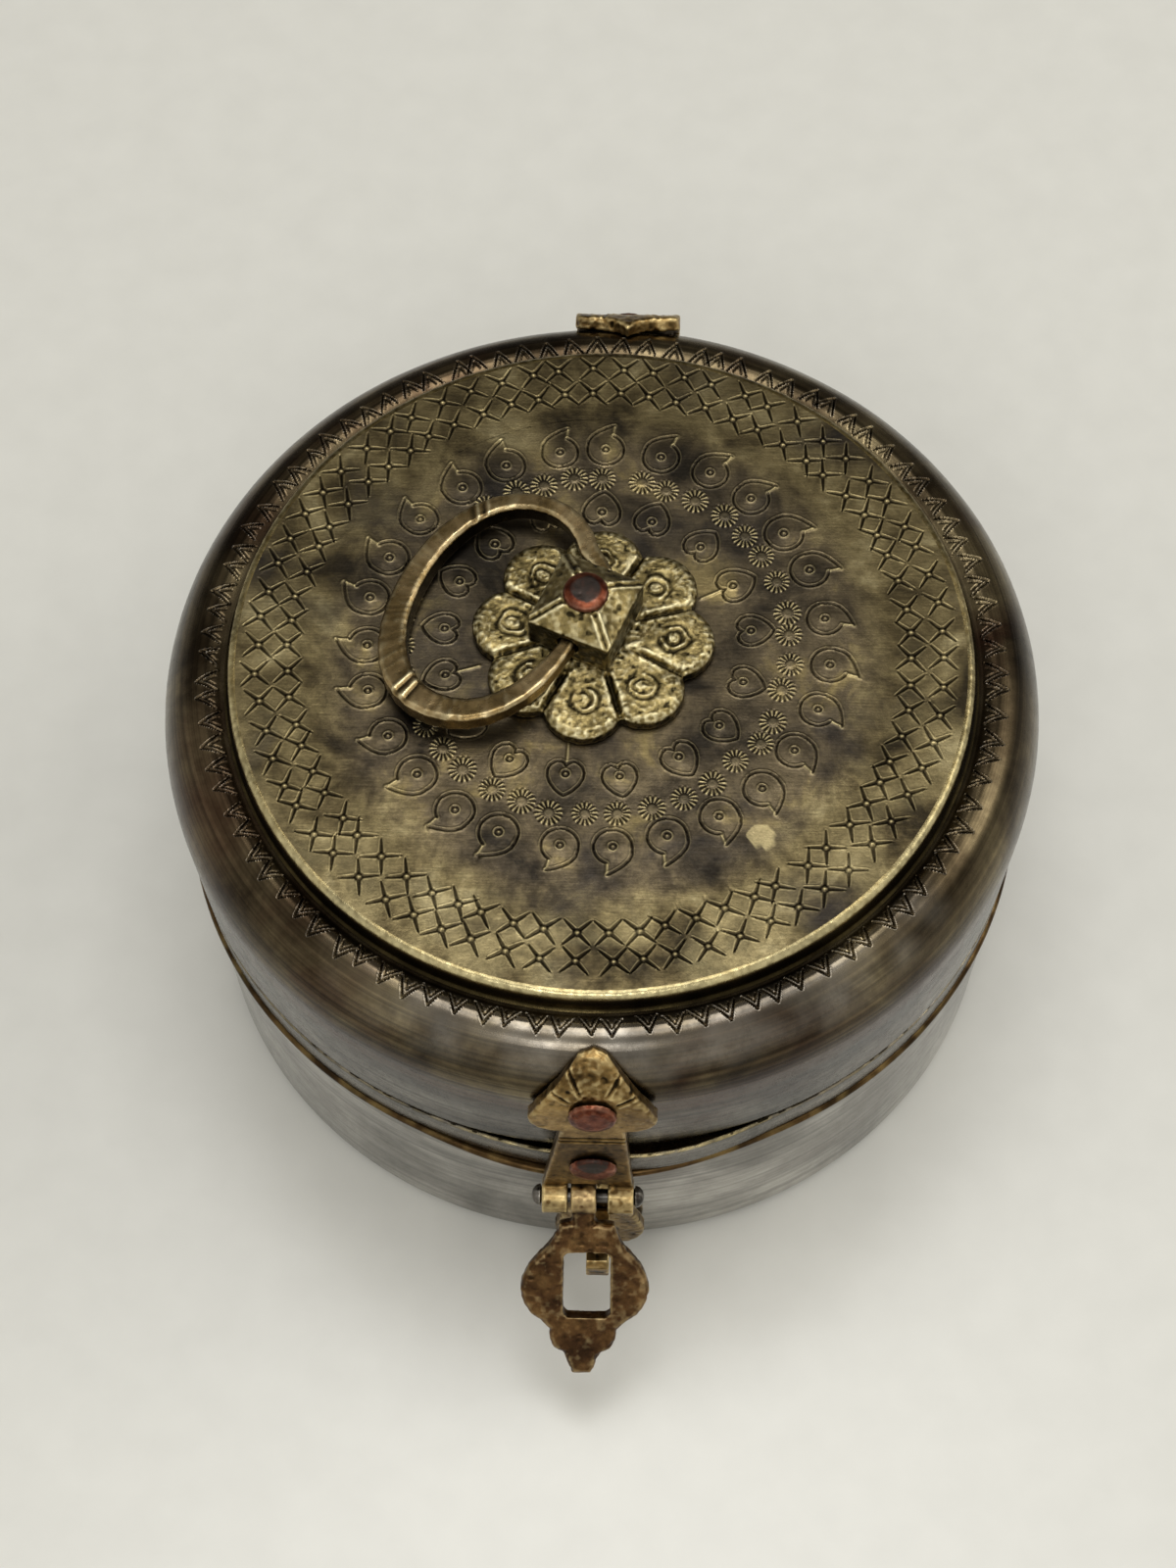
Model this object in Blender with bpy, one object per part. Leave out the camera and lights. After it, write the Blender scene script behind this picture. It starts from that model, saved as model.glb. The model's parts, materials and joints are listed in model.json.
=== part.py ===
"""Round hinged brass box: two spun shells, cast hinge and clasp plates, a hasp and a ring handle.

Lengths are in metres and +Z is up. The foot rests on Z = 0 and the box's axis is X = Y = 0.
The clasp faces -Y and the hinge lies at +Y.
"""
import math

import bmesh
import bpy
from mathutils import Matrix, Vector

# Clearances and sheet
GAP = 0.0003              # what touching pieces keep between their surfaces
OVERRUN = 0.002           # how far a cutter runs past what it cuts
WELD = 0.000001           # points closer than this are one point
SMOOTH_ANGLE = 32.0       # degrees above which an edge stays sharp
QUARTER = math.pi / 2     # a quarter turn
SHEET = 0.0012            # thickness of the spun brass sheet

# Facet counts
SHELL_STEPS = 64
BARREL_STEPS = 16
SHANK_STEPS = 12
CORNER_STEPS = 3
SHOULDER_STEPS = 7

# Base
BASE_HEIGHT = 0.0510      # table to the top of the rim's ledge
SEAM_RADIUS = 0.0937      # outer edge of the ledge that the lid rests on
BASE_TAPER = 0.0022       # how much narrower the base's wall is at its foot
FOOT_ROUND = 0.0045
RIM_THICKNESS = 0.0012    # of the upstand
LEDGE_THICKNESS = 0.0019
LEDGE_ROUND = 0.0005
RIM_OVERHANG = 0.0012     # how far the ledge stands out from the wall
RIM_BULGE = 0.0026        # how much further it stands out behind the clasp
BULGE_REACH = 0.0440      # distance round the box over which the bulge dies out
LIP_HEIGHT = 0.0040       # upstand of the rim inside the lid
LIP_CLEARANCE = 0.0010    # between the upstand and the lid's skirt

# Lid
LID_HEIGHT = 0.0562       # ledge to the top of the panel
PANEL_ROUND = 0.0017
PANEL_STEP = 0.0052       # depth of the groove round the panel
GROOVE_TOE = 0.0005
GROOVE_WIDTH = 0.0048
CREST_DROP = 0.0043       # panel down to the shoulder's crest
SHOULDER_REACH = 0.0105
SHOULDER_DROP = 0.0157
LEDGE_SHOW = 0.0008       # how far the ledge stands out from the skirt's lower edge
SKIRT_FLARE = 0.0024      # how much wider the lid is at its widest

# Band round the skirt's lower edge
BAND_HEIGHT = 0.0085
BAND_THICKNESS = 0.0007
BAND_SEAT_SLOPE = 0.0016  # height over which the skirt draws in for the band
BAND_SPRING = 0.0022      # how far the band stands off beside the clasp
SPRING_START = 0.0400     # where the stand-off begins, left of the clasp
SPRING_PEAK = 0.0130      # where it is widest, right of the clasp
SPRING_END = 0.0460       # where the band lies in its seat again, right of the clasp

# Cast plates with their spade leaf
PLATE_THICKNESS = 0.0032
PLATE_EDGE = 0.0005       # chamfer round the plate's face
LEAF_WIDTH = 0.0268
LEAF_LENGTH = 0.0231
LEAF_BELOW_SHOULDER = 0.0055
LEAF_SHARES = ((0.70, 0.02), (0.87, 0.08), (0.985, 0.17), (1.0, 0.26), (0.86, 0.42), (0.70, 0.56),
               (0.53, 0.70), (0.37, 0.84), (0.22, 0.945))
STRAP_TOP_WIDTH = 0.0135
STRAP_BOTTOM_WIDTH = 0.0190
BEND_SPACING = 0.0022     # distance between the bends that lay a plate on its shell

# Knuckles and pins
KNUCKLE_RADIUS = 0.0039
KNUCKLE_WIDTH = 0.0055
KNUCKLE_SEAT = 0.0004     # how deep the knuckle's back lies in its plate's back
FINGER_INSET = 0.0003
NOTCH_CLEARANCE = 0.0006
PIN_RADIUS = 0.0016
PIN_CLEARANCE = 0.0003
PIN_HEAD_RADIUS = 0.0025
PIN_HEAD_HEIGHT = 0.0020

# Clasp on the front of the lid
CLASP_PIN_STANDOFF = 0.0069  # from the ledge's outer edge to the pin's axis
CLASP_PIN_UP = 0.0001     # above the seam
CLASP_KNUCKLE_SPACE = 0.0086
CLASP_LEFT = 0.0005       # the knuckles sit a little left of the box's middle
CLASP_LEAF_SHIFT = 0.0007  # the leaf and its rivets sit a little right of it
LEAF_RIVET_UP = 0.0082    # above the leaf's base
STRAP_RIVET_UP = 0.0146   # above the seam

# Hasp
HASP_LENGTH = 0.0431
HASP_WIDTH = 0.0276
HASP_THICKNESS = 0.0036
HASP_EDGE = 0.0008
HASP_KNUCKLE_WIDTH = 0.0054
HASP_KNUCKLE_LEFT = 0.0009
HASP_LEAN_SHARE = 0.022   # how far the hasp leans left for its length
HASP_REST_ANGLE = 40.0    # degrees out from hanging straight down
HASP_NECK_SHARE = 0.135   # length of the plain neck below the pin
HASP_LOBE_SHARES = ((0.43, 0.15), (0.50, 0.22), (0.63, 0.29), (0.86, 0.375), (1.0, 0.48), (0.985, 0.57),
                    (0.84, 0.66), (0.66, 0.70))
HASP_SIDE_LOBE_SHARES = ((0.53, 0.75), (0.515, 0.81), (0.43, 0.86), (0.30, 0.88))
HASP_TONGUE_SHARES = ((0.27, 0.90), (0.15, 1.0))
SLOT_WIDTH = 0.0102
SLOT_LENGTH = 0.0160
SLOT_START = 0.0131       # from the pin's axis to the slot
SLOT_ROUND = 0.0010

# Staple on the front of the base
STAPLE_SHIFT = 0.0016     # the staple sits a little right of the clasp's middle
STAPLE_PLATE_WIDTH = 0.0200
STAPLE_PLATE_LENGTH = 0.0360
STAPLE_PLATE_THICKNESS = 0.0028
STAPLE_PLATE_FOOT = 0.0060
STAPLE_DROP = 0.0227      # from the clasp's pin down to the staple
STAPLE_LENGTH = 0.0142
STAPLE_WIDTH = 0.0050
STAPLE_DEPTH = 0.0072
STAPLE_CORNER = 0.0014
STAPLE_HOLE_RADIUS = 0.0021
STAPLE_HOLE_REACH = 0.0098
STAPLE_TANG_RADIUS = 0.0022
STAPLE_RIVET_UP = 0.0070

# Hinge at the back
HINGE_SHIFT = 0.0037      # the hinge is not quite opposite the clasp
HINGE_LEAF_WIDTH = 0.0237
HINGE_LEAF_LENGTH = 0.0248
HINGE_LEAF_SHARES = ((0.62, 0.015), (0.85, 0.06), (0.97, 0.14), (1.0, 0.25), (1.0, 0.79), (0.93, 0.845),
                     (0.70, 0.86), (0.45, 0.87), (0.25, 0.905), (0.12, 0.95))
HINGE_PIN_STANDOFF = 0.0061
HINGE_PIN_UP = 0.0019
HINGE_KNUCKLE_SPACE = 0.0086
HINGE_MIDDLE_SIDE_GAP = 0.0004
HINGE_JOGGLE_DROP = 0.0070
HINGE_JOGGLE_LENGTH = 0.0090
BASE_STRAP_LENGTH = 0.0150
BASE_PLATE_END = 0.0060
BASE_RIVET_SHARES = (0.38, 0.78)  # places of the base plate's rivets along its leaf

# Rivets
HEAD_RADIUS = 0.0052
HEAD_HEIGHT = 0.0016
SHANK_RADIUS = 0.0020
SHANK_CLEARANCE = 0.0003
TAIL_RADIUS = 0.0031
TAIL_HEIGHT = 0.0011
TAIL_STANDOFF = 0.0005    # a flat tail on a hollow curved wall touches at its rim only
SMALL_HEAD_SHARE = 0.66
HEAD_SHARES = ((0.0, 1.0), (0.65, 0.95), (0.93, 0.62), (1.0, 0.0))

# Handle
HANDLE_LEFT = 0.0033      # the handle sits a little left of the box's axis
HANDLE_BACK = 0.0060      # and behind it
ROSETTE_LEFT = 0.0018
ROSETTE_BACK = 0.0044
ROSETTE_PETALS = 8
ROSETTE_ANGLE = -5.5
ROSETTE_THICKNESS = 0.0042
PETAL_CENTRE = 0.0173
PETAL_RADIUS = 0.0088
PETAL_POINTS = 9
PETAL_RING_SHARES = (0.36, 0.56, 0.78, 0.94)
PETAL_CROWN = 0.0006      # fall of a petal's face towards its edge
PETAL_GROOVE = 0.0011     # depth of the filed groove between petals
BLOCK_SIDE = 0.0188
BLOCK_RIM = 0.0082
BLOCK_HEIGHT = 0.0114
BLOCK_SEAT = 0.0092
BLOCK_EDGE = 0.0004
BLOCK_ANGLE = 67.0        # degrees from +X to the line of the ring's hole
RING_HOLE_RADIUS = 0.0026
RING_HOLE_UP = 0.0043     # above the block's foot
HANDLE_SHANK_RADIUS = 0.0025
HANDLE_HEAD_RADIUS = 0.0050
HANDLE_TAIL_RADIUS = 0.0040
WASHER_RADIUS = 0.0090
WASHER_THICKNESS = 0.0010

# Ring
RING_HALF_LENGTH = 0.0275
RING_HALF_HEIGHT = 0.0194
RING_BACK = 0.0059        # the ring is not quite even about the block
RING_ROUND_POWER = 2.12   # two gives an ellipse, more a squarer oval
RING_WIDTH = 0.0066
RING_WIDTH_SHARES = ((0.0, 0.52), (0.03, 0.64), (0.25, 0.66), (0.5, 0.86), (0.64, 1.0), (0.8, 0.87),
                     (0.92, 0.74), (1.0, 0.50))
RING_THICKNESS = 0.0051
RING_END_SIZE = 0.0034
RING_END_INSIDE = 0.0044  # how far each end runs into the block
RING_LEG_BLEND = 0.0040
RING_CORNER_SHARE = 0.28
RING_STATIONS = 30
RING_FLOOR_CLEARANCE = 0.0003

# Heights and radii that follow from the sizes above
PANEL_TOP = BASE_HEIGHT + LID_HEIGHT
BASE_TOP_RADIUS = SEAM_RADIUS - RIM_OVERHANG
BASE_BOTTOM_RADIUS = BASE_TOP_RADIUS - BASE_TAPER
SKIRT_BOTTOM_RADIUS = SEAM_RADIUS - LEDGE_SHOW
WIDEST_HEIGHT = PANEL_TOP - CREST_DROP - SHOULDER_DROP
WIDEST_RADIUS = SKIRT_BOTTOM_RADIUS + SKIRT_FLARE
CREST_RADIUS = WIDEST_RADIUS - SHOULDER_REACH
PANEL_RADIUS = CREST_RADIUS - GROOVE_WIDTH
SKIRT_BOTTOM = BASE_HEIGHT + GAP
BAND_BOTTOM = SKIRT_BOTTOM + GAP
BAND_TOP = BAND_BOTTOM + BAND_HEIGHT
BAND_SEAT = BAND_THICKNESS + GAP
WALL_TOP = BASE_HEIGHT - LEDGE_THICKNESS - GAP
ROSETTE_FOOT = PANEL_TOP + GAP
BLOCK_FOOT = ROSETTE_FOOT + ROSETTE_THICKNESS + GAP
RING_PIVOT_HEIGHT = BLOCK_FOOT + RING_HOLE_UP
HANDLE_PLACE = (-HANDLE_LEFT, HANDLE_BACK)
ROSETTE_PLACE = (-ROSETTE_LEFT, ROSETTE_BACK)

FRONT = -1
BACK = 1
CLASP_AXIS = (-CLASP_LEFT, FRONT * (SEAM_RADIUS + CLASP_PIN_STANDOFF), BASE_HEIGHT + CLASP_PIN_UP)
HINGE_PIN_REACH = SEAM_RADIUS + HINGE_PIN_STANDOFF
HINGE_PIN_HEIGHT = BASE_HEIGHT + HINGE_PIN_UP
HINGE_AXIS = (HINGE_SHIFT, BACK * HINGE_PIN_REACH, HINGE_PIN_HEIGHT)


def srgb(red, green, blue):
    """Linear colour from sRGB bytes."""
    def linear(value):
        share = value / 255
        return share / 12.92 if share <= 0.04045 else ((share + 0.055) / 1.055) ** 2.4
    return linear(red), linear(green), linear(blue), 1.0


def metal(name, colour, roughness):
    """One plain metal material."""
    material = bpy.data.materials.new(name)
    material.use_nodes = True
    shader = material.node_tree.nodes["Principled BSDF"]
    shader.inputs["Base Color"].default_value = colour
    shader.inputs["Metallic"].default_value = 1.0
    shader.inputs["Roughness"].default_value = roughness
    material.diffuse_color = colour
    return material


def object_from(bm, name, material, smooth=True):
    """Turn a bmesh into a named object with its own material."""
    bmesh.ops.remove_doubles(bm, verts=bm.verts, dist=WELD)
    bmesh.ops.recalc_face_normals(bm, faces=bm.faces)
    mesh = bpy.data.meshes.new(name)
    bm.to_mesh(mesh)
    bm.free()
    if smooth:
        mesh.shade_smooth()
        mesh.set_sharp_from_angle(angle=math.radians(SMOOTH_ANGLE))
    piece = bpy.data.objects.new(name, mesh)
    bpy.context.scene.collection.objects.link(piece)
    if material is not None:
        mesh.materials.append(material)
    return piece


def turned_bmesh(outline, steps, closed):
    """Revolve an outline of (radius, height) points about Z."""
    bm = bmesh.new()
    points = [bm.verts.new((radius, 0.0, height)) for radius, height in outline]
    pairs = list(zip(points, points[1:]))
    if closed:
        pairs.append((points[-1], points[0]))
    edges = [bm.edges.new(pair) for pair in pairs]
    bmesh.ops.spin(bm, geom=points + edges, cent=(0.0, 0.0, 0.0), axis=(0.0, 0.0, 1.0),
                   angle=math.tau, steps=steps, use_merge=True)
    return bm


def turned(name, outline, steps, material, closed=False):
    """A turned solid. An outline with both ends on the axis closes by itself."""
    return object_from(turned_bmesh(outline, steps, closed), name, material)


def cylinder_bmesh(start, end, radius, steps):
    """A closed cylinder between two points."""
    bm = bmesh.new()
    along = end - start
    place = Matrix.Translation((start + end) / 2) @ along.to_track_quat("Z", "Y").to_matrix().to_4x4()
    bmesh.ops.create_cone(bm, cap_ends=True, segments=steps, radius1=radius, radius2=radius,
                          depth=along.length, matrix=place)
    return bm


def helper(bm, name):
    """A cutter or a piece to be joined, which the model itself leaves out."""
    piece = object_from(bm, name, None, smooth=False)
    piece.hide_render = True
    piece.display_type = "WIRE"
    return piece


def combine(target, operand, operation):
    """Cut the operand out of the target, or join it on."""
    modifier = target.modifiers.new(operand.name, "BOOLEAN")
    modifier.operation = operation
    modifier.solver = "EXACT"
    modifier.object = operand


def drill(target, name, start, end, radius, steps=SHANK_STEPS):
    """A round hole between two points, with the overrun at both ends."""
    along = (end - start).normalized() * OVERRUN
    combine(target, helper(cylinder_bmesh(start - along, end + along, radius, steps), name), "DIFFERENCE")


def arc(centre, radius, start, end, steps):
    """Points of an arc in the (radius, height) plane."""
    points = []
    for step in range(steps + 1):
        angle = start + (end - start) * step / steps
        points.append((centre[0] + radius * math.cos(angle), centre[1] + radius * math.sin(angle)))
    return points


def offset_path(points, distance):
    """Move an open path sideways by one distance, to the left of its run."""
    path = [Vector(point) for point in points]
    sides = []
    for first, second in zip(path, path[1:]):
        run = (second - first).normalized()
        sides.append(Vector((-run.y, run.x)))
    moved = []
    for index, point in enumerate(path):
        before = sides[max(index - 1, 0)]
        after = sides[min(index, len(sides) - 1)]
        middle = (before + after).normalized()
        moved.append(tuple(point + middle * (distance / middle.dot(after))))
    return moved


def shoulder_point(angle, offset):
    """Point and normal of the lid's shoulder, a quarter ellipse, at an angle from its crest."""
    normal = Vector((math.sin(angle) * SHOULDER_DROP, math.cos(angle) * SHOULDER_REACH)).normalized()
    point = Vector((CREST_RADIUS + SHOULDER_REACH * math.sin(angle),
                    WIDEST_HEIGHT + SHOULDER_DROP * math.cos(angle)))
    return point + normal * offset


def skirt_radius(height):
    """Outer radius of the lid's skirt, which narrows downwards."""
    share = (height - SKIRT_BOTTOM) / (WIDEST_HEIGHT - SKIRT_BOTTOM)
    return SKIRT_BOTTOM_RADIUS + (WIDEST_RADIUS - SKIRT_BOTTOM_RADIUS) * share


def wall_radius(height):
    """Outer radius of the base's wall, which narrows downwards."""
    return BASE_BOTTOM_RADIUS + (BASE_TOP_RADIUS - BASE_BOTTOM_RADIUS) * height / WALL_TOP


def lid_shell(material):
    """Spun lid: panel, step, groove, shoulder and a skirt drawn in at its foot, from one sheet."""
    outer = [(0.0, PANEL_TOP)]
    outer += arc((PANEL_RADIUS - PANEL_ROUND, PANEL_TOP - PANEL_ROUND), PANEL_ROUND, QUARTER, 0.0, CORNER_STEPS)
    outer.append((PANEL_RADIUS + GROOVE_TOE, PANEL_TOP - PANEL_STEP))
    for step in range(SHOULDER_STEPS + 1):
        outer.append(tuple(shoulder_point(QUARTER * step / SHOULDER_STEPS, 0.0)))
    seat_top = BAND_TOP + GAP
    outer.append((skirt_radius(seat_top + BAND_SEAT_SLOPE), seat_top + BAND_SEAT_SLOPE))
    outer.append((skirt_radius(seat_top) - BAND_SEAT, seat_top))
    outer.append((SKIRT_BOTTOM_RADIUS - BAND_SEAT, SKIRT_BOTTOM))
    inner = offset_path(outer, -SHEET)
    inner[0] = (0.0, PANEL_TOP - SHEET)
    inner[-1] = (inner[-1][0], SKIRT_BOTTOM)
    return turned("lid_shell", outer + inner[::-1], SHELL_STEPS, material)


def swell(angle, start, peak, end):
    """Share of a bulge at an angle right of the clasp: none at its start and end, all at its peak."""
    along = angle * SKIRT_BOTTOM_RADIUS
    share = (along - start) / (peak - start) if along < peak else (end - along) / (end - peak)
    return (1 - math.cos(math.pi * min(max(share, 0.0), 1.0))) / 2


def hoop(name, section, material):
    """A closed hoop about the axis, whose section is given by its angle right of the clasp."""
    bm = bmesh.new()
    rings = []
    for step in range(SHELL_STEPS):
        angle = math.tau * step / SHELL_STEPS
        direction = Vector((math.sin(angle), -math.cos(angle), 0.0))
        signed = angle if angle <= math.pi else angle - math.tau
        rings.append([bm.verts.new(direction * radius + Vector((0.0, 0.0, height)))
                      for radius, height in section(signed)])
    bridge_rings(bm, rings, around=True)
    return object_from(bm, name, material)


def lid_band(material):
    """Hoop round the skirt's lower edge, flush in its seat but sprung outwards beside the clasp."""
    def section(angle):
        standoff = BAND_SPRING * swell(angle, -SPRING_START, SPRING_PEAK, SPRING_END)
        low = skirt_radius(BAND_BOTTOM) + standoff
        high = skirt_radius(BAND_TOP) + standoff
        return ((low - BAND_THICKNESS, BAND_BOTTOM), (low, BAND_BOTTOM), (high, BAND_TOP),
                (high - BAND_THICKNESS, BAND_TOP))
    return hoop("lid_band", section, material)


def bridge_rings(bm, rings, around):
    """Join rings of equally many points by quads, and close the ends unless they meet."""
    pairs = list(zip(rings, rings[1:]))
    if around:
        pairs.append((rings[-1], rings[0]))
    for first, second in pairs:
        for index in range(len(first)):
            after = (index + 1) % len(first)
            bm.faces.new((first[index], first[after], second[after], second[index]))
    if not around:
        bm.faces.new(rings[0])
        bm.faces.new(rings[-1])


def base_bowl(material):
    """Spun base with a tapered wall, a rounded corner and a flat foot."""
    taper = math.atan2(BASE_TOP_RADIUS - BASE_BOTTOM_RADIUS, WALL_TOP)
    corner = (wall_radius(FOOT_ROUND) - FOOT_ROUND / math.cos(taper), FOOT_ROUND)
    outer = [(0.0, 0.0)]
    outer += arc(corner, FOOT_ROUND, -QUARTER, -taper, CORNER_STEPS)
    outer.append((BASE_TOP_RADIUS, WALL_TOP))
    inner = offset_path(outer, SHEET)
    inner[0] = (0.0, SHEET)
    inner[-1] = (inner[-1][0], WALL_TOP)
    return turned("base_bowl", outer + inner[::-1], SHELL_STEPS, material)


def base_rim(material):
    """Ledge on the base's wall, pushed out behind the clasp, with an upstand that keeps the lid in place."""
    lip_outer = SKIRT_BOTTOM_RADIUS - BAND_SEAT - SHEET - LIP_CLEARANCE
    lip_inner = lip_outer - RIM_THICKNESS
    underside = BASE_HEIGHT - LEDGE_THICKNESS
    lip_top = BASE_HEIGHT + LIP_HEIGHT

    def section(angle):
        bulge = RIM_BULGE * swell(angle, -BULGE_REACH, 0.0, BULGE_REACH)
        ledge_outer = BASE_TOP_RADIUS + RIM_OVERHANG + bulge
        face = ledge_outer - LEDGE_ROUND
        return ((lip_inner, underside), (face, underside), (ledge_outer, underside + LEDGE_ROUND),
                (ledge_outer, BASE_HEIGHT - LEDGE_ROUND), (face, BASE_HEIGHT), (lip_outer, BASE_HEIGHT),
                (lip_outer, lip_top), (lip_inner, lip_top))
    return hoop("base_rim", section, material)


class Path:
    """A line of (radius, height) points, read by the length along it, with outward normals."""

    def __init__(self, points):
        self.points = [Vector(point) for point in points]
        self.lengths = [0.0]
        self.sides = []
        for first, second in zip(self.points, self.points[1:]):
            run = second - first
            self.lengths.append(self.lengths[-1] + run.length)
            side = Vector((run.y, -run.x)).normalized()
            self.sides.append(side if side.x > 0 else -side)

    def at(self, length):
        """Point and normal at a length. The normal turns evenly close to a bend."""
        last = len(self.sides) - 1
        index = 0
        while index < last and length > self.lengths[index + 1]:
            index += 1
        behind = length - self.lengths[index]
        ahead = self.lengths[index + 1] - length
        span = behind + ahead
        point = self.points[index].lerp(self.points[index + 1], behind / span)
        zone = min(span / 2, BEND_SPACING)
        side = self.sides[index]
        if behind < zone and index > 0:
            side = (self.sides[index - 1] + side).normalized().lerp(side, behind / zone)
        elif ahead < zone and index < last:
            side = (self.sides[index + 1] + side).normalized().lerp(side, ahead / zone)
        return point, side.normalized()


def mirrored(half):
    """A closed outline from its right half, which runs from one point on the middle to another."""
    other = [(-across, along) for across, along in reversed(half) if across > 0]
    return half + other


def leaf_half(base, width, length, shares):
    """Right half of a leaf from its base to its tip, along +."""
    half = [(share * width / 2, base + up * length) for share, up in shares]
    return half + [(0.0, base + length)]


def bent_plate(name, outline, thickness, path, side, material):
    """A flat blank cut to an outline, its face chamfered, then bent along a path on one side."""
    bm = bmesh.new()
    blank = bm.faces.new([bm.verts.new((across, along, 0.0)) for across, along in outline])
    raised = bmesh.ops.extrude_face_region(bm, geom=[blank])["geom"]
    face_points = [item for item in raised if isinstance(item, bmesh.types.BMVert)]
    bmesh.ops.translate(bm, verts=face_points, vec=(0.0, 0.0, thickness))
    rim = [edge for edge in bm.edges if all(point in face_points for point in edge.verts)]
    bmesh.ops.bevel(bm, geom=rim, offset=PLATE_EDGE, offset_type="OFFSET", segments=1, affect="EDGES",
                    clamp_overlap=True)
    low = min(along for across, along in outline)
    high = max(along for across, along in outline)
    bends = int((high - low) / BEND_SPACING)
    for bend in range(1, bends):
        everything = bm.verts[:] + bm.edges[:] + bm.faces[:]
        bmesh.ops.bisect_plane(bm, geom=everything, dist=WELD, plane_no=(0.0, 1.0, 0.0),
                               plane_co=(0.0, low + (high - low) * bend / bends, 0.0))
    for point in bm.verts:
        middle, normal = path.at(point.co.y)
        place = middle + normal * point.co.z
        point.co = Vector((point.co.x, side * place.x, place.y))
    return object_from(bm, name, material)


def add_knuckles(plate, name, axis, spans):
    """Join a knuckle on the plate for each span along X, and drill the pin's hole."""
    centre = Vector(axis)
    for index, (low, high) in enumerate(spans):
        start = centre + Vector((low, 0.0, 0.0))
        end = centre + Vector((high, 0.0, 0.0))
        knuckle = helper(cylinder_bmesh(start, end, KNUCKLE_RADIUS, BARREL_STEPS), f"{name}_knuckle_{index}")
        combine(plate, knuckle, "UNION")
    low = min(span[0] for span in spans)
    high = max(span[1] for span in spans)
    drill(plate, f"{name}_pin_hole", centre + Vector((low, 0.0, 0.0)), centre + Vector((high, 0.0, 0.0)),
          PIN_RADIUS + PIN_CLEARANCE)


def outer_spans(space):
    """Places along X of the two outer knuckles round a space."""
    half = space / 2
    return (-half - KNUCKLE_WIDTH, -half), (half, half + KNUCKLE_WIDTH)


def shoulder_path(reach, height):
    """Line of a lid plate's back: up from its knuckles, then over the shoulder."""
    points = [(reach - KNUCKLE_RADIUS + KNUCKLE_SEAT, height)]
    for step in range(SHOULDER_STEPS * 2, 0, -1):
        points.append(tuple(shoulder_point(QUARTER * step / (SHOULDER_STEPS * 2), GAP)))
    return Path(points)


def lid_plate_outline(path, space, knuckle_shift, leaf_shift, leaf_sizes):
    """Outline of a lid plate: two fingers for its knuckles, a tapered strap and the leaf."""
    leaf_base = path.lengths[1] - LEAF_BELOW_SHOULDER
    notch = KNUCKLE_RADIUS + NOTCH_CLEARANCE
    inner = space / 2 + FINGER_INSET
    outer = space / 2 + KNUCKLE_WIDTH - FINGER_INSET
    foot = [(0.0, notch), (inner, notch), (inner, 0.0), (outer, 0.0), (outer, notch),
            (STRAP_BOTTOM_WIDTH / 2, notch)]
    leaf = [(STRAP_TOP_WIDTH / 2, leaf_base)] + leaf_half(leaf_base, *leaf_sizes)
    outline = []
    for across, along in mirrored(foot + leaf):
        outline.append((across + (knuckle_shift if along <= notch else leaf_shift), along))
    return outline, leaf_base


def on_side(place, side):
    """World point or direction from one in the (radius, height) plane."""
    return Vector((0.0, side * place.x, place.y))


def lid_plate(name, axis, space, side, leaf_shift, leaf_sizes, material):
    """Plate over the lid's shoulder with two knuckles. Returns it and its two rivets' seats."""
    knuckle_shift, reach, height = axis
    path = shoulder_path(abs(reach), height)
    outline, leaf_base = lid_plate_outline(path, space, knuckle_shift, leaf_shift, leaf_sizes)
    plate = bent_plate(name, outline, PLATE_THICKNESS, path, side, material)
    add_knuckles(plate, name, axis, outer_spans(space))
    back, normal = path.at(leaf_base + LEAF_RIVET_UP)
    across = Vector((leaf_shift, 0.0, 0.0))
    leaf_seat = (across + on_side(back + normal * PLATE_THICKNESS, side), on_side(normal, side),
                 PLATE_THICKNESS + GAP + SHEET)
    back, normal = path.at(BASE_HEIGHT + STRAP_RIVET_UP - height)
    face = back.x + PLATE_THICKNESS
    strap_seat = (across + Vector((0.0, side * face, back.y)), Vector((0.0, side, 0.0)),
                  face - skirt_radius(back.y) + SHEET)
    return plate, leaf_seat, strap_seat


def rivet(name, seat, head_radius, material):
    """A rivet on its seat: head outside, shank through, tail closed inside."""
    place, direction, grip = seat
    under = -grip - TAIL_STANDOFF
    outline = [(share * head_radius, GAP + up * HEAD_HEIGHT) for share, up in HEAD_SHARES]
    outline += [(SHANK_RADIUS, GAP), (SHANK_RADIUS, under), (TAIL_RADIUS, under),
                (TAIL_RADIUS, under - TAIL_HEIGHT), (0.0, under - TAIL_HEIGHT)]
    bm = turned_bmesh(outline, BARREL_STEPS, closed=False)
    bm.transform(Matrix.Translation(place) @ direction.to_track_quat("Z", "Y").to_matrix().to_4x4())
    return object_from(bm, name, material)


def rivet_hole(name, seat, target):
    """The hole that a rivet's shank needs in one piece."""
    place, direction, grip = seat
    drill(target, name, place - direction * grip, place, SHANK_RADIUS + SHANK_CLEARANCE)


def pin(name, axis, half_length, material):
    """A pin along X with both ends peened over."""
    ends = []
    for step in range(CORNER_STEPS + 1):
        angle = QUARTER * step / CORNER_STEPS
        ends.append((PIN_HEAD_RADIUS * math.sin(angle), half_length + PIN_HEAD_HEIGHT * math.cos(angle)))
    upper = ends + [(PIN_RADIUS, half_length)]
    outline = upper + [(radius, -along) for radius, along in reversed(upper)]
    bm = turned_bmesh(outline, SHANK_STEPS, closed=False)
    bm.transform(Matrix.Translation(axis) @ Matrix.Rotation(QUARTER, 4, "Y"))
    return object_from(bm, name, material)


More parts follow.
